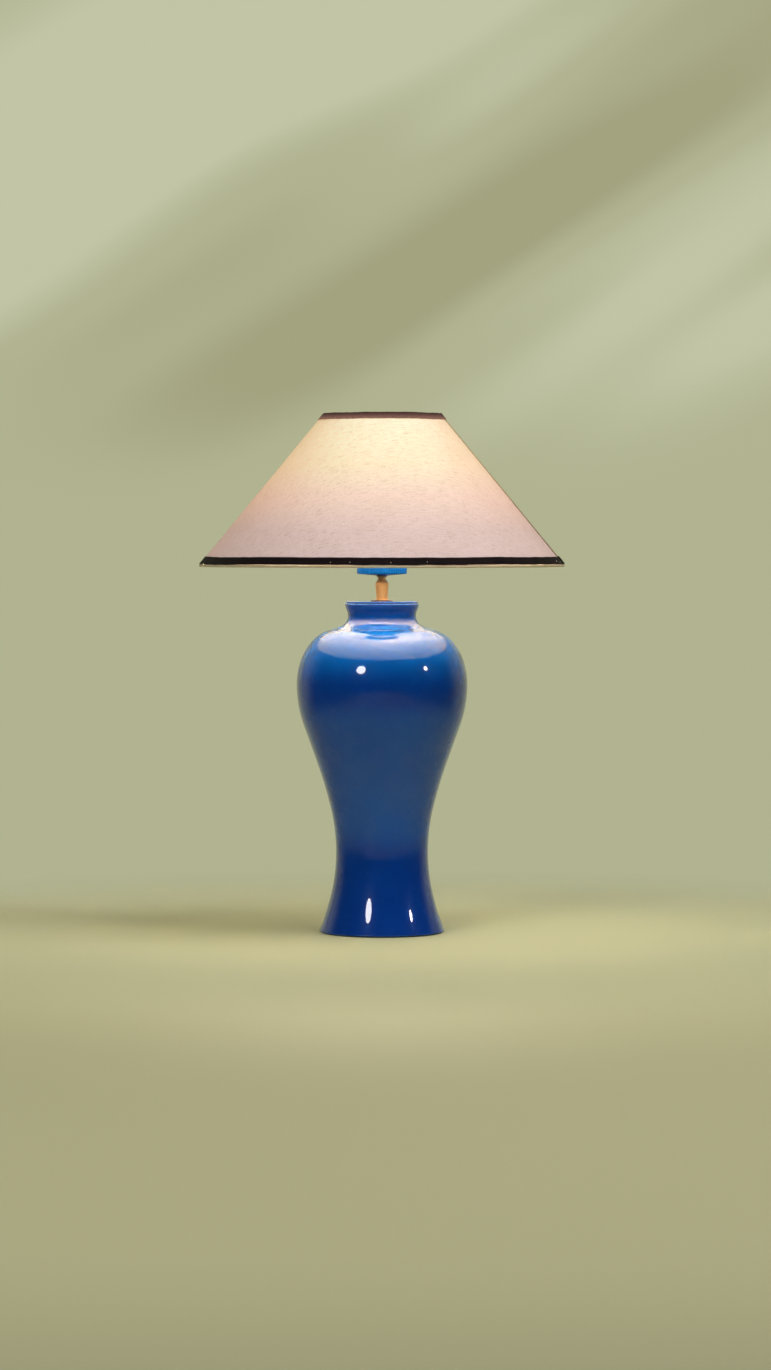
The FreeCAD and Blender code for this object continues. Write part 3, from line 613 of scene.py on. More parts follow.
# Painted reflection: deeper bands at the foot and waist, round the belly, and from the shoulder up the neck.
BLUE_GLAZE = Glaze("blue_glaze", paint(0, 68, 146), deep=paint(0, 42, 124), thin=paint(60, 114, 180),
                   edges=(0.0016, 0.3611),
                   painted_reflection_bands=((-0.2, -0.1, 0.084, 0.118), (0.232, 0.262, 0.272, 0.316),
                          (0.334, 0.342, 0.5, 0.6)))
BLUE_PAINT = Glaze("blue_paint", paint(0, 54, 134), deep=paint(0, 42, 122), coat_roughness=0.02,
                   peel=0.000006)
BRIGHT_BLUE_PAINT = Glaze("bright_blue_paint", paint(1, 64, 131), deep=paint(1, 55, 119), roughness=0.4,
                          coat=0.2, coat_roughness=0.2, peel=0.00002)
SATIN_BRASS = Turned("satin_brass", paint(184, 146, 104), tarnish=paint(148, 102, 63), roughness=0.42,
                     metallic=0.8)
DARK_BRONZE = Turned("dark_bronze", paint(74, 58, 52), tarnish=paint(34, 26, 24), roughness=0.42)
CONTACT_BRASS = Turned("contact_brass", paint(214, 176, 104), tarnish=paint(150, 110, 60), roughness=0.3)
ZINC_PLATE = Turned("zinc_plate", paint(186, 190, 192), tarnish=paint(120, 122, 120), roughness=0.32)
NICKEL = Turned("nickel", paint(196, 190, 180), tarnish=paint(120, 112, 100), roughness=0.24)
SOLDER = Moulded("solder", paint(170, 172, 174), marked=paint(110, 110, 112), roughness=0.34, metallic=1.0,
                 grain_depth=0.00005)
CAP_ALUMINIUM = Turned("cap_aluminium", paint(200, 202, 204), tarnish=paint(140, 140, 140), roughness=0.3)
WHITE_PLASTIC = Moulded("white_plastic", paint(222, 220, 210), marked=paint(180, 176, 160), roughness=0.42)
HOLDER_PLASTIC = Moulded("holder_plastic", paint(34, 34, 36), marked=paint(70, 70, 72), roughness=0.36)
BLACK_RUBBER = Moulded("black_rubber", paint(24, 24, 25), marked=paint(58, 57, 55), roughness=0.62,
                       grain_depth=0.00004)
BROWN_INSULATION = Moulded("brown_insulation", paint(92, 54, 32), marked=paint(70, 40, 24), roughness=0.38)
BLUE_INSULATION = Moulded("blue_insulation", paint(36, 84, 160), marked=paint(24, 60, 120), roughness=0.38)
WHITE_CERAMIC = Moulded("white_ceramic", paint(226, 222, 212), marked=paint(190, 182, 166), roughness=0.3,
                        coat=0.6)
BLACK_GLASS = Moulded("black_glass", paint(20, 18, 22), marked=paint(44, 40, 48), roughness=0.08, coat=0.5)
STEM_GLASS = Moulded("stem_glass", paint(226, 232, 228), marked=paint(200, 206, 200), roughness=0.12,
                     coat=0.8)
FRAME_WIRE = Moulded("frame_wire", paint(224, 220, 208), marked=paint(168, 158, 140), roughness=0.36,
                     grain_depth=0.00004, coat=0.3)
FROSTED_GLASS = Glowing("frosted_glass", paint(240, 236, 226), glow=(1.0, 0.86, 0.62, 1.0), strength=6.0)
FILAMENT = Glowing("filament", paint(240, 200, 120), glow=(1.0, 0.74, 0.38, 1.0), strength=12.0)
SHADE_LINEN = Linen("linen", paint(214, 194, 191))
# Painted shade: the seam's doubled lap is darker and olive, and glows less.
SHADED_SEAM_LINEN = Linen("linen", paint(182, 166, 140), name="shaded_seam_linen", shadow=paint(134, 116, 88), glow=0.35)
# Partly painted shade: a thin olive-brown strip along the lap's edge, for its glue line and the shade beside
# it.
SEAM_GLUE_AND_SHADOW = Ribbon("linen", paint(104, 88, 56), name="seam_glue_and_shadow", faded=paint(140, 120, 84))
FOOT_RIBBON = Ribbon("dark_ribbon", paint(13, 6, 8), faded=paint(34, 22, 23))
TOP_RIBBON = Ribbon("dark_ribbon", paint(44, 27, 26), name="lit_ribbon", glow=(0.32, 0.16, 0.12, 1.0),
                    glow_low=0.5605, glow_high=0.5690, faded=paint(70, 46, 42))
STITCH_THREAD = Tape("cream_tape", paint(224, 214, 200), name="stitch_thread")
CREAM_TAPE = Tape("cream_tape", paint(206, 190, 160))
WHITE_LINING = Lining("lining", paint(244, 238, 226))
GREY_FELT = Felt("felt", paint(38, 40, 48))


@dataclass(frozen=True)
class Station:
    """A place that a turned outline passes, and its lean there in degrees from level and outwards."""

    radius: float
    height: float
    lean: float = 90.0

    def place(self) -> Vector:
        """The place in the plane of radius and height."""
        return Vector((self.radius, self.height))

    def heading(self) -> Vector:
        """The direction in which the outline passes."""
        return Vector((math.cos(math.radians(self.lean)), math.sin(math.radians(self.lean))))

    def inside(self, depth: float) -> "Station":
        """The station moved towards the axis by the depth of a wall."""
        heading = self.heading()
        return Station(self.radius - heading.y * depth, self.height + heading.x * depth, self.lean)


class Outline:
    """An outline in the plane of radius and height, made of corners, rounds and smooth curves."""

    corner_share: float = 0.45
    least_spread: float = 1e-9
    least_bow: float = 1e-6

    def __init__(self, turn: float = 5.0, step: float = 0.006) -> None:
        """Starts an empty outline.

        Args:
            turn: The most degrees that an arc turns from one point to the next.
            step: The longest stretch of an arc from one point to the next.
        """
        self.turn = math.radians(turn)
        self.step = step
        self.marks: list[tuple[Vector, float]] = []

    def to(self, radius: float, height: float, rounding: float = 0.0) -> "Outline":
        """Adds a corner, which may be rounded."""
        self.marks.append((Vector((radius, height)), rounding))
        return self

    def through(self, stations: Sequence[Station]) -> "Outline":
        """Adds two tangent arcs between each station and the next.

        Args:
            stations: The stations in order.

        Returns:
            The outline.
        """
        self.to(*stations[0].place())
        for first, last in zip(stations, stations[1:]):
            start, end = first.place(), last.place()
            leaving, arriving = first.heading(), last.heading()
            chord = end - start
            spread = 2 * (1 - leaving.dot(arriving))
            if spread < self.least_spread:
                reach = chord.length_squared / (4 * chord.dot(arriving))
            else:
                along = chord.dot(leaving + arriving)
                reach = (math.sqrt(along * along + spread * chord.length_squared) - along) / spread
            near, far = start + leaving * reach, end - arriving * reach
            middle = (near + far) / 2
            for point in self.arc(start, leaving, middle) + self.arc(middle, (far - near).normalized(), end):
                self.to(*point)
        return self

    def arc(self, start: Vector, heading: Vector, end: Vector) -> list[Vector]:
        """Points of an arc.

        Args:
            start: Where the arc starts, which isn't in the result.
            heading: The direction in which it leaves.
            end: Where it ends.

        Returns:
            The points after the start, up to the end.
        """
        chord = end - start
        left = Vector((-heading.y, heading.x))
        bow = math.atan2(chord.dot(left), chord.dot(heading))
        count = max(1, math.ceil(max(abs(2 * bow) / self.turn, chord.length / self.step)))
        if abs(bow) < self.least_bow:
            return [start + chord * (k / count) for k in range(1, count + 1)]
        centre = start + left * (chord.length_squared / (2 * chord.dot(left)))
        return [centre + Matrix.Rotation(2 * bow * k / count, 2) @ (start - centre)
                for k in range(1, count + 1)]

    def points(self) -> list[Vector]:
        """The outline's points with its rounds drawn.

        Returns:
            The points in order.
        """
        result: list[Vector] = []
        for index, (here, rounding) in enumerate(self.marks):
            if rounding == 0:
                result.append(here)
                continue
            back = self.marks[index - 1][0] - here
            ahead = self.marks[(index + 1) % len(self.marks)][0] - here
            half = back.angle(ahead) / 2
            reach = min(rounding / math.tan(half), self.corner_share * min(back.length, ahead.length))
            arrival = here + back.normalized() * reach
            result.append(arrival)
            result += self.arc(arrival, -back.normalized(), here + ahead.normalized() * reach)
        return result


@dataclass(frozen=True)
class Disc:
    """A flat ring: bore, radius, the heights of its sides, and how its rim is rounded below and above."""

    bore: float
    radius: float
    low: float
    high: float
    round_low: float
    round_high: float
    turn: float = 5.0

    def outline(self) -> Outline:
        """The closed outline."""
        line = Outline(self.turn).to(self.bore, self.low).to(self.radius, self.low, self.round_low)
        return line.to(self.radius, self.high, self.round_high).to(self.bore, self.high)


@dataclass(frozen=True)
class Cone:
    """The shade's outer cone."""

    foot_radius: float = 0.1995
    top_radius: float = 0.0642
    foot: float = 0.4046
    height: float = 0.1639

    @property
    def top(self) -> float:
        """The height of the top edge."""
        return self.foot + self.height

    @property
    def slant(self) -> float:
        """The length of the side from edge to edge."""
        return math.hypot(self.height, self.foot_radius - self.top_radius)

    @property
    def apex(self) -> float:
        """The height of the point in which the sides would meet."""
        return self.foot + self.height * self.foot_radius / (self.foot_radius - self.top_radius)

    @property
    def sector(self) -> float:
        """The share of a full turn that the flat cloth fills."""
        return (self.foot_radius - self.top_radius) / self.slant

    def radius(self, height: float, out: float = 0.0) -> float:
        """The radius at a height, this far outside the cone."""
        inwards = (self.top_radius - self.foot_radius) * ((height - self.foot) / self.height)
        return self.foot_radius + inwards + out * self.slant / self.height

    def outward(self, degrees: float) -> Vector:
        """The outward direction square to the side at an azimuth."""
        return azimuth(degrees) * (self.height / self.slant) + Vector((0.0, 0.0, self.sector))

    def place(self, degrees: float, height: float, out: float = 0.0) -> Vector:
        """The point of the side at an azimuth and height, moved out by a distance."""
        level = azimuth(degrees) * self.radius(height)
        return level + Vector((0.0, 0.0, height)) + self.outward(degrees) * out


class Assembly:
    """Pieces of the lamp that are built and dressed together, on one body.

    What stays as the CAD made it is listed by its finish.
    """

    body: Body = Body.BASE
    dressed: Dress = ()
    weld: float = 1e-7
    pole_weld: float = 2e-6

    def build(self) -> None:
        """Dresses the CAD nodes that stay as they are."""
        for finish, names in self.dressed:
            for name in names:
                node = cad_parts[name]
                node.data.materials.clear()
                node.data.materials.append(finish.material())
                log.info("%s: dressed as %s", name, finish.slot)

    def spun(self, outline: Outline, steps: int = 96) -> Mesh:
        """A mesh turned about Z.

        Args:
            outline: The closed outline.
            steps: How many faces go round.

        Returns:
            The mesh, with its poles closed and its faces pointing outwards.
        """
        mesh = bmesh.new()
        corners = [mesh.verts.new((point.x, 0.0, point.y)) for point in outline.points()]
        bmesh.ops.remove_doubles(mesh, verts=corners, dist=self.weld)
        corners = list(mesh.verts)
        for index, corner in enumerate(corners):
            mesh.edges.new((corner, corners[index - 1]))
        self.turned(mesh, steps)
        bmesh.ops.remove_doubles(mesh, verts=mesh.verts, dist=self.pole_weld)
        bmesh.ops.recalc_face_normals(mesh, faces=mesh.faces)
        return mesh

    def turned(self, mesh: Mesh, steps: int) -> None:
        """Turns a section fully about Z."""
        bmesh.ops.spin(mesh, geom=list(mesh.verts) + list(mesh.edges), cent=(0, 0, 0), axis=(0, 0, 1),
                       angle=math.tau, steps=steps, use_merge=True)

    def finished(self, name: str, mesh: Mesh, finish: Finish, replaces: Sequence[str] = (),
                 sharp: float = 40.0) -> bpy.types.Object:
        """Makes a piece from its mesh, gives it its finish and lets it ride.

        Args:
            name: The piece's name.
            mesh: Its mesh, which is used up.
            finish: Its finish.
            replaces: The CAD nodes that it stands for.
            sharp: The angle in degrees from which an edge is sharp.

        Returns:
            The piece's object.
        """
        data = stored(name, mesh)
        data.polygons.foreach_set("use_smooth", [True] * len(data.polygons))
        data.set_sharp_from_angle(angle=math.radians(sharp))
        data.materials.append(finish.material())
        piece = placed(data)
        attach(piece, self.body.value)
        if replaces:
            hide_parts(*replaces)
        log.info("%s: %d faces", name, len(data.polygons))
        return piece


@dataclass
class Vase(Assembly):
    """The glazed vase with its foot, clamping, plug and cap."""

    stations: tuple[Station, ...] = (
        Station(0.0689, 0.0025, 112.8), Station(0.0506, 0.0885), Station(0.0699, 0.1827, 70.6),
        Station(0.0938, 0.2721), Station(0.0759, 0.3212, 132.6), Station(0.0561, 0.3326, 166.0),
        Station(0.0374, 0.3474))
    foot_round: float = 0.001
    lip: Station = Station(0.0407, 0.3604, 82.0)
    mouth: Station = Station(0.0399, 0.3612, 180.0)
    wall: float = 0.0055
    fineness: Pair = (1.8, 0.0035)
    inner_fineness: Pair = (6.0, 0.012)
    rod_hole: float = 0.0054
    recess: Pair = (0.0561, 0.0222)
    rebate: Pair = (0.0631, 0.0042)
    floor_top: float = 0.0302
    inlet_height: float = 0.0132
    inlet_hole: float = 0.0051
    inlet_spot: float = 0.0066
    inlet_face: float = 0.0621
    drill_start: float = -0.002
    drill_end: float = 0.03
    steps: int = 192
    drill_steps: int = 48
    discs: tuple[tuple[str, Disc, int, Finish, str], ...] = (
        ("mouth_cap", Disc(0.0051, 0.0399, 0.3616, 0.3638, 0.001, 0.001), 128, BLUE_PAINT, "vase_cap"),
        ("neck_seat", Disc(0.0051, 0.01235, 0.3638, 0.365, 0.0004, 0.0004), 96, DARK_BRONZE, "seat_washer"),
        ("felt_sole", Disc(0.0, 0.0659, 0.0, 0.0015, 0.0004, 0.0005), 128, GREY_FELT, "felt_pad"))
    dressed: Dress = (
        (ZINC_PLATE, ("foot_cover", "block_screw", "clamp_washer", "lock_washer", "bottom_nut",
                      "threaded_rod")),
        (WHITE_PLASTIC, ("terminal_block", "neck_plug")),
        (NICKEL, ("block_clamp_screws",)),
        (BLACK_RUBBER, ("cord_grommet", "cushion_washer", "cap_gasket")),
        (BROWN_INSULATION, ("live_lead",)),
        (BLUE_INSULATION, ("neutral_lead",)))

    def outline(self) -> Outline:
        """The vase's closed outline, from the rod's hole round the outside to the floor.

        Returns:
            The outline.
        """
        line = Outline(*self.fineness)
        foot = self.stations[0]
        line.to(self.rod_hole, self.recess[1]).to(*self.recess).to(self.recess[0], self.rebate[1])
        line.to(*self.rebate).to(self.rebate[0], foot.height - self.foot_round)
        edge = Station(foot.radius - self.foot_round, foot.height - self.foot_round, 0.0)
        line.through([edge, *self.stations, self.lip, self.mouth])
        hollow = Outline(*self.inner_fineness)
        hollow.through([station.inside(self.wall) for station in self.stations])
        inner = [point for point in hollow.points() if point.y > self.floor_top]
        line.to(inner[-1].x, self.mouth.height)
        for point in reversed(inner):
            line.to(*point)
        return line.to(inner[0].x, self.floor_top).to(self.rod_hole, self.floor_top)

    def with_inlet(self, mesh: Mesh) -> Mesh:
        """Cuts the lead's inlet through the back of the foot.

        Args:
            mesh: The vase's mesh, which is used up.

        Returns:
            The cut mesh.
        """
        start, end = self.recess[0] + self.drill_start, self.recess[0] + self.drill_end
        drill = Outline().to(0.0, start).to(self.inlet_hole, start).to(self.inlet_hole, self.inlet_face)
        drill.to(self.inlet_spot, self.inlet_face).to(self.inlet_spot, end).to(0.0, end)
        tool = self.spun(drill, self.drill_steps)
        turn = Matrix.Translation((0.0, 0.0, self.inlet_height)) @ Matrix.Rotation(math.radians(-90), 4, "X")
        bmesh.ops.transform(tool, matrix=turn, verts=tool.verts)
        blocks = [placed(stored("vase_block", mesh)), placed(stored("inlet_drill", tool))]
        cut = blocks[0].modifiers.new("inlet", "BOOLEAN")
        cut.operation = "DIFFERENCE"
        cut.solver = "EXACT"
        cut.object = blocks[1]
        result = bmesh.new()
        result.from_object(blocks[0], bpy.context.evaluated_depsgraph_get())
        for block in blocks:
            data = block.data
            bpy.data.objects.remove(block)
            bpy.data.meshes.remove(data)
        return result

    def build(self) -> None:
        """Builds and dresses the vase and what it carries."""
        body = self.with_inlet(self.spun(self.outline(), self.steps))
        self.finished("glazed_vase", body, BLUE_GLAZE, ["vase_body"])
        for name, disc, steps, finish, node in self.discs:
            self.finished(name, self.spun(disc.outline(), steps), finish, [node])
        super().build()


@dataclass(frozen=True)
class Flutes:
    """A row of shallow flutes round a rim."""

    count: int = 60
    depth: float = 0.0005
    share: float = 0.6
    fineness: int = 8
    rim_depths: float = 1.5

    def press(self, mesh: Mesh, radius: float) -> None:
        """Presses the flutes into the outermost part of a spun mesh.

        Args:
            mesh: The mesh.
            radius: Its outer radius.
        """
        for vertex in mesh.verts:
            reach = math.hypot(vertex.co.x, vertex.co.y)
            if reach < radius - self.rim_depths * self.depth:
                continue
            turn = (math.atan2(vertex.co.y, vertex.co.x) / math.tau * self.count) % 1.0
            within = max(0.0, turn - 1 + self.share)
            limit = radius - self.depth * max(0.0, math.sin(math.pi * within / self.share))
            if reach > limit:
                vertex.co.x *= limit / reach
                vertex.co.y *= limit / reach


@dataclass
class Neck(Assembly):
    """The turned brass neck, the dark washer above it and the fluted dish."""

    foot: float = 0.365
    socket_radius: float = 0.0051
    socket_top: float = 0.3775
    bore: float = 0.00275
    nipple: Pair = (0.005, 0.3991)
    profile: tuple[Triple, ...] = (
        (0.0069, 0.365, 0.0), (0.0069, 0.3657, 0.0007), (0.0062, 0.3664, 0.0007), (0.00725, 0.3834, 0.0006),
        (0.00585, 0.3858, 0.0006), (0.00475, 0.3869, 0.0006), (0.00395, 0.3886, 0.0006),
        (0.0056, 0.3905, 0.0006), (0.0056, 0.3911, 0.0))
    fineness: Pair = (10.0, 0.0015)
    washer: Disc = Disc(0.0051, 0.0061, 0.3911, 0.3919, 0.00025, 0.00025)
    washer_steps: int = 72
    dish_radius: float = 0.0273
    dish_boss: float = 0.007
    dish_pocket: float = 0.0206
    dish_levels: tuple[float, float, float, float] = (0.3919, 0.3937, 0.3946, 0.4011)
    dish_rounds: Pair = (0.0016, 0.0008)
    dish_turn: float = 15.0
    flutes: Flutes = Flutes()
    sharp: float = 30.0

    def build(self) -> None:
        """Builds and dresses the neck, the washer and the dish."""
        line = Outline(*self.fineness).to(self.socket_radius, self.foot)
        for corner in self.profile:
            line.to(*corner)
        nipple_radius, nipple_top = self.nipple
        line.to(nipple_radius, self.profile[-1][1]).to(nipple_radius, nipple_top)
        line.to(self.bore, nipple_top).to(self.bore, self.socket_top).to(self.socket_radius, self.socket_top)
        self.finished("brass_neck", self.spun(line), SATIN_BRASS, ["turned_neck"], self.sharp)
        washer = self.spun(self.washer.outline(), self.washer_steps)
        self.finished("dark_washer", washer, DARK_BRONZE, ["dish_washer"])
        low, rim, floor, high = self.dish_levels
        dish = Outline(self.dish_turn).to(self.socket_radius, low).to(self.dish_boss, low)
        dish.to(self.dish_radius, rim, self.dish_rounds[0]).to(self.dish_radius, high, self.dish_rounds[1])
        dish.to(self.dish_pocket, high).to(self.dish_pocket, floor).to(self.socket_radius, floor)
        mesh = self.spun(dish, self.flutes.count * self.flutes.fineness)
        self.flutes.press(mesh, self.dish_radius)
        self.finished("fluted_dish", mesh, BRIGHT_BLUE_PAINT, ["holder_dish"], self.sharp)
        super().build()


@dataclass
class Lampholder(Assembly):
    """The screw lampholder on the dish."""

    dressed: Dress = (
        (HOLDER_PLASTIC, ("holder_cap", "holder_skirt")),
        (WHITE_CERAMIC, ("holder_core",)),
        (CONTACT_BRASS, ("holder_terminals", "centre_contact", "screw_shell")),
        (NICKEL, ("terminal_screws", "lock_screw")))


@dataclass
class SlipWasher(Assembly):
    """The washer that is held captive under the clamp ring."""

    body: Body = Body.RING_LIFT
    dressed: Dress = ((ZINC_PLATE, ("slip_washer",)),)


@dataclass
class ClampRing(Assembly):
    """The fluted ring that clamps the shade's hub."""

    body: Body = Body.CLAMP_RING
    ring: Disc = Disc(0.0204, 0.0273, 0.406, 0.413, 0.0012, 0.0012, 15.0)
    flutes: Flutes = Flutes()
    sharp: float = 30.0

    def build(self) -> None:
        """Builds and dresses the ring."""
        mesh = self.spun(self.ring.outline(), self.flutes.count * self.flutes.fineness)
        self.flutes.press(mesh, self.ring.radius)
        self.finished("fluted_ring", mesh, HOLDER_PLASTIC, ["clamp_ring"], self.sharp)
        super().build()


@dataclass
class BulbTip(Assembly):
    """The tip and insulator of the bulb."""

    body: Body = Body.BULB_LIFT
    dressed: Dress = (
        (SOLDER, ("bulb_contact",)), (BLACK_GLASS, ("bulb_insulator",)))


@dataclass
class Bulb(Assembly):
    """The lamp bulb on its screw cap."""

    body: Body = Body.BULB
    wall: float = 0.0007
    stations: tuple[Station, ...] = (
        Station(0.01165, 0.4433), Station(0.01165, 0.4469), Station(0.022, 0.4714, 62.0),
        Station(0.03, 0.4974), Station(0.0, 0.5274, 180.0))
    fineness: Pair = (5.0, 0.003)
    inner_fineness: Pair = (10.0, 0.006)
    dressed: Dress = (
        (CAP_ALUMINIUM, ("bulb_cap",)), (STEM_GLASS, ("bulb_stem",)), (FILAMENT, ("bulb_filaments",)),
        (NICKEL, ("filament_wires",)))

    def build(self) -> None:
        """Builds the glass and dresses the rest of the bulb."""
        line = Outline(*self.fineness).through(self.stations)
        inner = Outline(*self.inner_fineness)
        inner.through([station.inside(self.wall) for station in self.stations])
        for point in reversed(inner.points()):
            line.to(max(0.0, point.x), point.y)
        glass = self.finished("frosted_bulb", self.spun(line), FROSTED_GLASS, ["bulb_glass"])
        glass.visible_shadow = False
        super().build()


@dataclass(frozen=True)
class Strip:
    """A straight-sided strip of cloth laid up the cone.

    It has the azimuth of its middle line, its width, how far its outer side stands off the linen, its
    thickness and its rows of faces.
    """

    middle: float
    width: float
    out: float
    thick: float
    rows: int
    columns: int = 6
    flat_share: float = 0.8
    edge_drop: float = 1.2
    ripple: float = 0.00012
    waves: Pair = (2.0, 9.0)

    def mesh(self, cone: Cone, low: float, high: float) -> Mesh:
        """Lays the strip on the cone.

        Args:
            cone: The cone.
            low: The height of the strip's foot.
            high: The height of its top.

        Returns:
            The strip's mesh.
        """
        mesh = bmesh.new()
        bmesh.ops.create_grid(mesh, x_segments=self.columns, y_segments=self.rows, size=0.5)
        for vertex in mesh.verts:
            across, along, _ = vertex.co
            height = low + (high - low) * (along + 0.5)
            degrees = self.middle + math.degrees(across * self.width / cone.radius(height))
            edge = 1.0 - max(0.0, abs(across) * 2 - self.flat_share) * self.edge_drop
            wave = Vector((across * self.waves[0], along * self.waves[1], self.middle))
            lift = noise.noise(wave) * self.ripple
            vertex.co = cone.place(degrees, height, self.out * edge + lift)
        bmesh.ops.recalc_face_normals(mesh, faces=mesh.faces)
        if mesh.faces[0].normal.dot(cone.outward(self.middle)) < 0:
            bmesh.ops.reverse_faces(mesh, faces=mesh.faces)
        bmesh.ops.solidify(mesh, geom=mesh.faces, thickness=self.thick)
        return mesh


@dataclass(frozen=True)
class TapedRing:
    """A wire ring wound with tape, each turn of which laps the one before."""

    radius: float
    height: float
    steps: int
    wire: float = 0.00145
    wire_steps: int = 14
    tape_width: float = 0.006
    lap_low: float = 0.94
    lap_rise: float = 0.12

    def turns(self, point: Vector) -> Pair:
        """The turns of a point round the lamp's axis and round the wire."""
        across = math.hypot(point.x, point.y) - self.radius
        return math.atan2(point.y, point.x) / math.tau, math.atan2(point.z - self.height, across) / math.tau

    def wind(self, mesh: Mesh) -> None:
        """Writes a plain ring's cloth coordinates, and thickens it where the tape laps.

        Args:
            mesh: The ring's mesh.
        """
        layer = mesh.loops.layers.uv.new(CLOTH)
        for face in mesh.faces:
            middle = self.turns(face.calc_center_median())
            for loop in face.loops:
                along, around = (there + (here - there + 0.5) % 1.0 - 0.5
                                 for there, here in zip(middle, self.turns(loop.vert.co)))
                loop[layer].uv = (around * math.tau * self.wire, along * math.tau * self.radius)
        wraps = round(math.tau * self.radius / self.tape_width)
        for vertex in mesh.verts:
            along, around = self.turns(vertex.co)
            core = Vector((vertex.co.x, vertex.co.y, 0.0)).normalized() * self.radius
            core.z = self.height
            lap = (along * wraps + around) % 1.0
            vertex.co = core + (vertex.co - core) * (self.lap_low + self.lap_rise * lap)


@dataclass(frozen=True)
class Wander:
    """The slight waves of a ribbon: how far its edges stray and how far it stands off in places."""

    seed: float
    lift: float
    swell: float
    slow: float = 3.1
    quick: float = 14.0
    quick_seed: float = 7.0
    quick_lift: float = 0.4
    quick_swell: float = 0.5

    def bend(self, mesh: Mesh) -> None:
        """Gives a ribbon's mesh its waves.

        Args:
            mesh: The mesh.
        """
        for vertex in mesh.verts:
            facing = Vector((vertex.co.x, vertex.co.y, 0.0)).normalized()
            slow = noise.noise(facing * self.slow + Vector((0.0, 0.0, self.seed)))
            quick = noise.noise(facing * self.quick + Vector((0.0, 0.0, self.seed + self.quick_seed)))
            vertex.co.z += self.lift * (slow + self.quick_lift * quick)
            vertex.co += facing * self.swell * (max(0.0, slow) + self.quick_swell * max(0.0, quick))


@dataclass(frozen=True)
class Stitches:
    """The small tacking stitches along the foot ribbon: those that show in front, and an even row behind."""

    front: tuple[float, ...] = (-15.8, -9.8, 2.7, 13.9, 72.5, 76.0)
    back: Pair = (97.0, 262.0)
    least_gap: float = 7.5
    more_gap: float = 6.0
    gap_seed: Pair = (0.3, 1.7)
    wobble_pace: float = 0.37
    wobble_seed: Pair = (2.1, 0.5)
    height_share: float = 0.3
    wobble_share: float = 0.22
    tilt: float = 1.2
    out: float = 0.00012
    size: tuple[float, float, float, float] = (0.0004, 0.0003, 0.00085, 1.0)

    def mesh(self, cone: Cone, width: float, thick: float) -> Mesh:
        """Sets the stitches.

        Args:
            cone: The cone under the ribbon.
            width: The ribbon's width.
            thick: Its thickness.

        Returns:
            The mesh of all the stitches.
        """
        mesh = bmesh.new()
        spots = list(self.front)
        turn = self.back[0]
        while turn < self.back[1]:
            spots.append(turn)
            turn += self.least_gap + self.more_gap * abs(noise.noise(Vector((turn, *self.gap_seed))))
        for spot in spots:
            wobble = noise.noise(Vector((spot * self.wobble_pace, *self.wobble_seed)))
            height = cone.foot + width * (self.height_share + self.wobble_share * wobble)
            stand = Matrix.Translation(cone.place(spot, height, thick + self.out))
            lean = Matrix.Rotation(math.radians(spot), 4, "Z") @ Matrix.Rotation(wobble * self.tilt, 4, "Y")
            bmesh.ops.create_icosphere(mesh, subdivisions=1, radius=1.0,
                                       matrix=stand @ lean @ Matrix.Diagonal(self.size))
        layer = mesh.loops.layers.uv.new(CLOTH)
        for face in mesh.faces:
            for loop in face.loops:
                loop[layer].uv = (loop.vert.co.x, loop.vert.co.z)
        return mesh


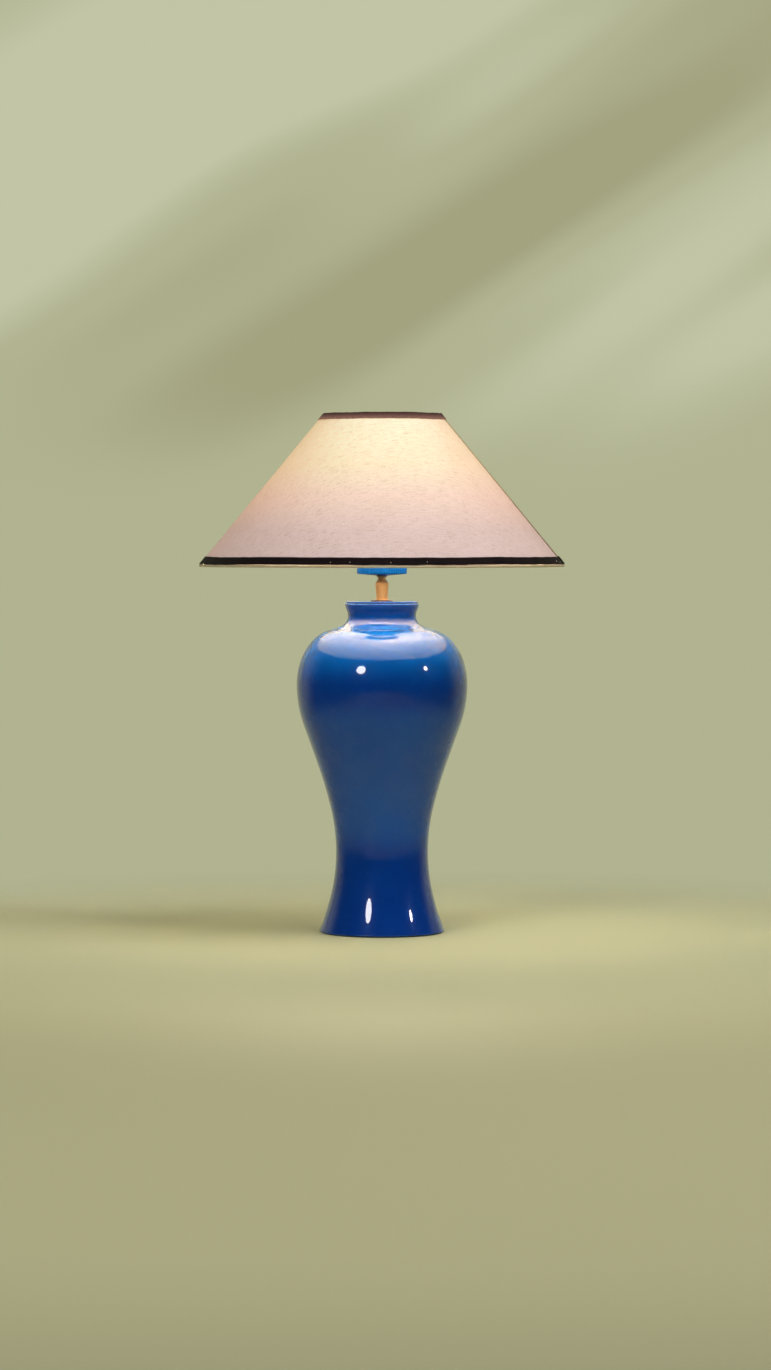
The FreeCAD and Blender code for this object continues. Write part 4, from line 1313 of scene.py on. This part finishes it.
@dataclass
class Shade(Assembly):
    """The cone shade: its frame, lining, linen, seam, ribbons and stitches."""

    body: Body = Body.SHADE
    cone: Cone = Cone()
    linen: float = 0.0006
    lining: float = 0.001
    linen_mesh: tuple[int, int] = (36, 288)
    lining_mesh: tuple[int, int] = (24, 192)
    straight_azimuth: float = 15.0
    seam: Strip = Strip(82.0, 0.01, 0.0006, 0.0005, 60)
    # A thin dark strip along the seam's lap: its glue line and painted shade.
    seam_glue_and_shadow: Strip = Strip(80.5, 0.0011, 0.0008, 0.0006, 60)
    foot_lap: Strip = Strip(83.0, 0.013, 0.0014, 0.0007, 5)
    top_lap: Strip = Strip(84.0, 0.011, 0.0014, 0.0007, 5)
    lap_inset: float = 0.0002
    ribbon: float = 0.0007
    ribbon_edge_share: float = 0.45
    ribbon_rows: int = 5
    foot_ribbon: float = 0.008
    foot_wander: Wander = Wander(3.0, 0.0008, 0.0003)
    foot_turn: float = 45.0
    foot_steps: int = 480
    top_ribbon: float = 0.0065
    top_wander: Wander = Wander(11.0, 0.0005, 0.0002)
    top_turn: float = 30.0
    top_steps: int = 288
    fold: float = 0.005
    stitches: Stitches = Stitches()
    foot_ring: TapedRing = TapedRing(0.1987, 0.403, 1260)
    top_ring: TapedRing = TapedRing(0.0655, 0.56195, 420)
    sharp: float = 40.0
    soft_sharp: float = 60.0
    stitch_sharp: float = 80.0
    dressed: Dress = (
        (FRAME_WIRE, ("fitter_hub", "fitter_arm_left", "fitter_arm_right", "fitter_arm_back")),)

    def unroll(self, mesh: Mesh, flat: bool) -> None:
        """Writes the cloth coordinates of a piece that lies on the cone.

        Args:
            mesh: The piece's mesh.
            flat: True for cloth that was cut as a flat sector, False for ribbon that runs round the cone.
        """
        layer = mesh.loops.layers.uv.new(CLOTH)
        seam = self.seam.middle
        for face in mesh.faces:
            middle = face.calc_center_median()
            facing = math.degrees(math.atan2(middle.x, -middle.y))
            offset = (facing - seam) % 360.0 - 360.0 + seam
            for loop in face.loops:
                place = loop.vert.co
                here = math.degrees(math.atan2(place.x, -place.y))
                degrees = offset + (here - facing + 180.0) % 360.0 - 180.0
                reach = math.hypot(math.hypot(place.x, place.y), self.cone.apex - place.z)
                if flat:
                    angle = math.radians((degrees - self.straight_azimuth) * self.cone.sector)
                    loop[layer].uv = (reach * math.sin(angle), reach * math.cos(angle))
                else:
                    loop[layer].uv = (math.radians(degrees) * math.hypot(middle.x, middle.y), reach)

    def layer(self, inside: float, outside: float, rows: int, steps: int) -> Mesh:
        """A layer of the cone.

        Args:
            inside: How far outside the cone its inner side is.
            outside: How far outside the cone its outer side is.
            rows: How many rows of faces its outer side has.
            steps: How many faces go round.

        Returns:
            Its mesh.
        """
        low, high = self.cone.foot, self.cone.top
        line = Outline()
        for row in range(rows + 1):
            height = low + (high - low) * row / rows
            line.to(self.cone.radius(height, outside), height)
        line.to(self.cone.radius(high, inside), high).to(self.cone.radius(low, inside), low)
        return self.spun(line, steps)

    def ribbon_side(self, low: float, high: float, turn: float) -> Outline:
        """The foot and the outer side of a ribbon that lies on the linen.

        Args:
            low: The height of its foot.
            high: The height of its top.
            turn: The most degrees that its rounds turn from one point to the next.

        Returns:
            The outline, up to its last row below the top.
        """
        line = Outline(turn).to(self.cone.radius(low), low)
        line.to(self.cone.radius(low, self.ribbon), low, self.ribbon * self.ribbon_edge_share)
        for row in range(1, self.ribbon_rows):
            height = low + (high - low) * row / self.ribbon_rows
            line.to(self.cone.radius(height, self.ribbon), height)
        return line

    def foot_ribbon_mesh(self, high: float) -> Mesh:
        """The foot ribbon.

        Args:
            high: The height of its top.

        Returns:
            Its mesh.
        """
        line = self.ribbon_side(self.cone.foot, high, self.foot_turn)
        line.to(self.cone.radius(high, self.ribbon), high, self.ribbon * self.ribbon_edge_share)
        mesh = self.spun(line.to(self.cone.radius(high), high), self.foot_steps)
        self.foot_wander.bend(mesh)
        return mesh

    def top_ribbon_mesh(self, low: float) -> Mesh:
        """The top ribbon, which folds over the edge and down the inside of the lining.

        Args:
            low: The height of its foot.

        Returns:
            Its mesh.
        """
        cone, over, skin = self.cone, self.ribbon, self.linen + self.lining
        crest, fold = cone.top + over, cone.top - self.fold
        line = self.ribbon_side(low, cone.top, self.top_turn)
        line.to(cone.radius(crest, over), crest, over).to(cone.radius(crest, -skin - over), crest, over)
        line.to(cone.radius(fold, -skin - over), fold).to(cone.radius(fold, -skin), fold)
        line.to(cone.radius(cone.top, -skin), cone.top).to(cone.radius(cone.top), cone.top)
        mesh = self.spun(line, self.top_steps)
        self.top_wander.bend(mesh)
        return mesh

    def ring_mesh(self, ring: TapedRing) -> Mesh:
        """A ring of the frame in its tape.

        Args:
            ring: The ring.

        Returns:
            Its mesh, with its cloth coordinates.
        """
        mesh = bmesh.new()
        bmesh.ops.create_circle(mesh, segments=ring.wire_steps, radius=ring.wire)
        upright = Matrix.Rotation(math.radians(90), 4, "X")
        stand = Matrix.Translation((ring.radius, 0.0, ring.height)) @ upright
        bmesh.ops.transform(mesh, matrix=stand, verts=mesh.verts)
        self.turned(mesh, ring.steps)
        bmesh.ops.recalc_face_normals(mesh, faces=mesh.faces)
        ring.wind(mesh)
        return mesh

    def build(self) -> None:
        """Builds and dresses the shade."""
        cone, soft = self.cone, self.soft_sharp
        low, high = cone.foot + self.foot_ribbon, cone.top - self.top_ribbon
        lining = self.layer(-self.linen - self.lining, -self.linen, *self.lining_mesh)
        linen = self.layer(-self.linen, 0.0, *self.linen_mesh)
        over_foot = self.foot_lap.mesh(cone, cone.foot + self.lap_inset, low - self.lap_inset)
        over_top = self.top_lap.mesh(cone, high + self.lap_inset, cone.top)
        for name, mesh, flat, finish, nodes, sharp in (
                ("shade_lining_shell", lining, True, WHITE_LINING, ["shade_lining"], self.sharp),
                ("linen_cover", linen, True, SHADE_LINEN, ["shade_linen"], self.sharp),
                ("seam_lap", self.seam.mesh(cone, low, high), True, SHADED_SEAM_LINEN, ["seam_strip"], self.sharp),
                ("seam_glue_and_shadow", self.seam_glue_and_shadow.mesh(cone, low, high), False, SEAM_GLUE_AND_SHADOW, [], self.sharp),
                ("foot_ribbon", self.foot_ribbon_mesh(low), False, FOOT_RIBBON, ["bottom_trim"], soft),
                ("top_ribbon", self.top_ribbon_mesh(high), False, TOP_RIBBON, ["top_trim"], soft),
                ("foot_ribbon_lap", over_foot, False, FOOT_RIBBON, [], self.sharp),
                ("top_ribbon_lap", over_top, False, TOP_RIBBON, [], self.sharp)):
            self.unroll(mesh, flat)
            self.finished(name, mesh, finish, nodes, sharp)
        mesh = self.stitches.mesh(cone, self.foot_ribbon, self.ribbon)
        stitches = self.finished("tacking_stitches", mesh, STITCH_THREAD, (), self.stitch_sharp)
        for name, ring, node in (("foot_ring_taped", self.foot_ring, "bottom_ring"),
                                 ("top_ring_taped", self.top_ring, "top_ring")):
            self.finished(name, self.ring_mesh(ring), CREAM_TAPE, [node], soft)
        super().build()


@dataclass(frozen=True)
class SoftLamp:
    """A round soft lamp that looks at the object from an azimuth and an angle above level."""

    name: str
    facing: float
    rise: float
    distance: float
    width: float
    power: float
    colour: Triple
    mirrored: bool = True

    def hang(self, centre: Sequence[float]) -> None:
        """Hangs the lamp.

        Args:
            centre: The place that it looks at.
        """
        data = bpy.data.lights.new(self.name, "AREA")
        data.shape = "DISK"
        data.size, data.energy, data.color = self.width, self.power, self.colour
        level = azimuth(self.facing) * math.cos(math.radians(self.rise))
        way = level + Vector((0.0, 0.0, math.sin(math.radians(self.rise))))
        lamp = placed(data)
        lamp.location = Vector(centre) + way * self.distance
        lamp.rotation_euler = way.to_track_quat("Z", "Y").to_euler()
        lamp.visible_camera = False
        lamp.visible_glossy = self.mirrored


@dataclass
class Studio(Shader):
    """The floor, the pale surroundings, the lamps and the camera."""

    centre: Triple = (0.0, 0.0, 0.29)
    near_floor: Colour = paint(185, 187, 151)
    far_floor: Colour = paint(170, 168, 132)
    floor_radius: float = 60.0
    floor_relief: float = 0.00005
    behind: Colour = paint(177, 179, 145)
    painted_light_streak: Colour = paint(194, 197, 166)
    shaded: Colour = paint(163, 163, 128)
    streak_lean: float = -33.0
    streak_scale: Triple = (0.4, 0.4, 0.07)
    ahead: Colour = paint(64, 66, 60)
    darkening: Pair = (0.3, 0.95)
    fade_behind: Pair = (0.2, 0.9)
    fade_aside: Pair = (0.5, 1.3)
    fade_ahead: Pair = (2.0, 3.5)
    lens: float = 109.05
    sensor: float = 36.0
    view_from: Triple = (0.0, -4.55, 0.434)
    view_down: float = 2.042
    view_turn: float = -0.0483
    view_end: float = 200.0
    lamps: tuple[SoftLamp, ...] = (
        SoftLamp("left_lamp", -30.0, 24.0, 5.5, 1.15, 98.0, (1.0, 0.98, 0.97)),
        SoftLamp("right_lamp", 65.0, 22.3, 5.5, 0.5, 40.0, (1.0, 0.98, 0.97)),
        SoftLamp("top_lamp", 50.0, 62.0, 3.5, 2.2, 80.0, (1.0, 0.97, 0.97)),
        SoftLamp("front_fill", -8.0, 1.0, 5.5, 2.5, 24.0, (0.94, 0.97, 1.0), False))
    bulb_place: Triple = (0.0, 0.0, 0.4974)
    bulb_radius: float = 0.028
    bulb_power: float = 12.0
    bulb_colour: Triple = (1.0, 0.86, 0.64)
    bulb_spread: Pair = (-0.72, -0.4)

    def camera(self) -> None:
        """Sets the camera at the photograph's viewing angle."""
        data = bpy.data.cameras.new("camera")
        data.lens, data.sensor_width, data.clip_end = self.lens, self.sensor, self.view_end
        view = placed(data)
        view.location = self.view_from
        view.rotation_euler = (math.radians(90 - self.view_down), 0.0, math.radians(self.view_turn))
        bpy.context.scene.camera = view

    def wall(self, direction: Socket) -> Socket:
        """The colour of the surroundings.

        Args:
            direction: The direction in which they are seen from the lamp.

        Returns:
            The colour's socket: pale with soft slanting streaks of painted light and shade behind the lamp,
            and dim in front of it.
        """
        _, along, up = self.parts(direction)
        turn = (0.0, math.radians(self.streak_lean), 0.0)
        slant = {"Vector": direction, "Rotation": turn, "Scale": self.streak_scale}
        turned = self.node("Mapping", slant, vector_type="TEXTURE").outputs[0]
        # Painted light and shade: soft slanting streaks on the pale surroundings behind the lamp.
        light = (self.noise(turned, 1.0, 2.0, 0.4) - 0.45) * up.span(0.0, 0.07, 0.0, 3.0) + 0.5
        pale = self.mix(self.shaded, self.behind, light.span(0.3, 0.5))
        pale = self.mix(pale, self.painted_light_streak, light.span(0.5, 0.68))
        return self.mix(self.ahead, pale, along.span(0.15, 0.6))

    def floor(self) -> None:
        """Lays the plain pale floor, which fades into the surroundings far from the lamp."""
        material = self.new_material("floor_finish")
        place = self.place()
        reach = self.radius(place)
        grain = self.noise(place, 500.0, 2.0)
        colour = self.mix(self.near_floor, self.far_floor, reach.span(*self.darkening))
        near = self.principled(colour, grain * 0.1 + 0.6, (grain, self.floor_relief, 0.3),
                               {"Specular IOR Level": 0.15})
        direction = self.node("VectorMath", {0: place}, operation="NORMALIZE").outputs[0]
        far = self.node("Emission", {"Color": self.wall(direction)}).outputs[0]
        behind = self.parts(direction)[1].span(0.45, 0.75)
        aside = self.parts(place)[0].size().span(*self.fade_aside, 0.0, 0.8)
        ahead = reach.span(*self.fade_ahead)
        fade = reach.span(*self.fade_behind) * behind + (ahead + aside - ahead * aside) * (1 - behind)
        self.end("Material", self.node("MixShader", {0: fade, 1: near, 2: far}).outputs[0])
        mesh = bmesh.new()
        bmesh.ops.create_circle(mesh, cap_ends=True, segments=96, radius=self.floor_radius)
        data = stored("floor", mesh)
        data.materials.append(material)
        placed(data)

    def surroundings(self) -> None:
        """Colours the world by direction."""
        world = bpy.data.worlds.new("surroundings")
        world.use_nodes = True
        bpy.context.scene.world = world
        self.start(world.node_tree)
        direction = self.node("TexCoord", {}).outputs["Generated"]
        self.end("World", self.node("Background", {"Color": self.wall(direction)}).outputs[0])

    def bulb_light(self) -> None:
        """Lights the inside of the shade from the place of the bulb."""
        data = bpy.data.lights.new("bulb_light", "POINT")
        data.energy, data.color, data.shadow_soft_size = self.bulb_power, self.bulb_colour, self.bulb_radius
        data.use_nodes = True
        self.start(data.node_tree)
        spread = self.parts(self.node("TexCoord", {}).outputs["Normal"])[2].span(*self.bulb_spread)
        self.end("Light", self.node("Emission", {"Strength": spread}).outputs[0])
        lamp = placed(data)
        lamp.location = self.bulb_place
        lamp.visible_camera = False

    def build(self) -> None:
        """Sets up the whole studio."""
        bpy.context.scene.view_settings.view_transform = "Standard"
        self.camera()
        self.floor()
        self.surroundings()
        for lamp in self.lamps:
            lamp.hang(self.centre)
        self.bulb_light()


def main() -> None:
    """Builds the lamp's assemblies in order."""
    logging.basicConfig(level=logging.INFO, format="%(name)s: %(message)s")
    Studio().build()
    for assembly in (Vase(), Neck(), Lampholder(), SlipWasher(), ClampRing(), BulbTip(), Bulb(), Shade()):
        assembly.build()
        log.info("%s built", type(assembly).__name__)


if __name__ == "__main__":
    main()
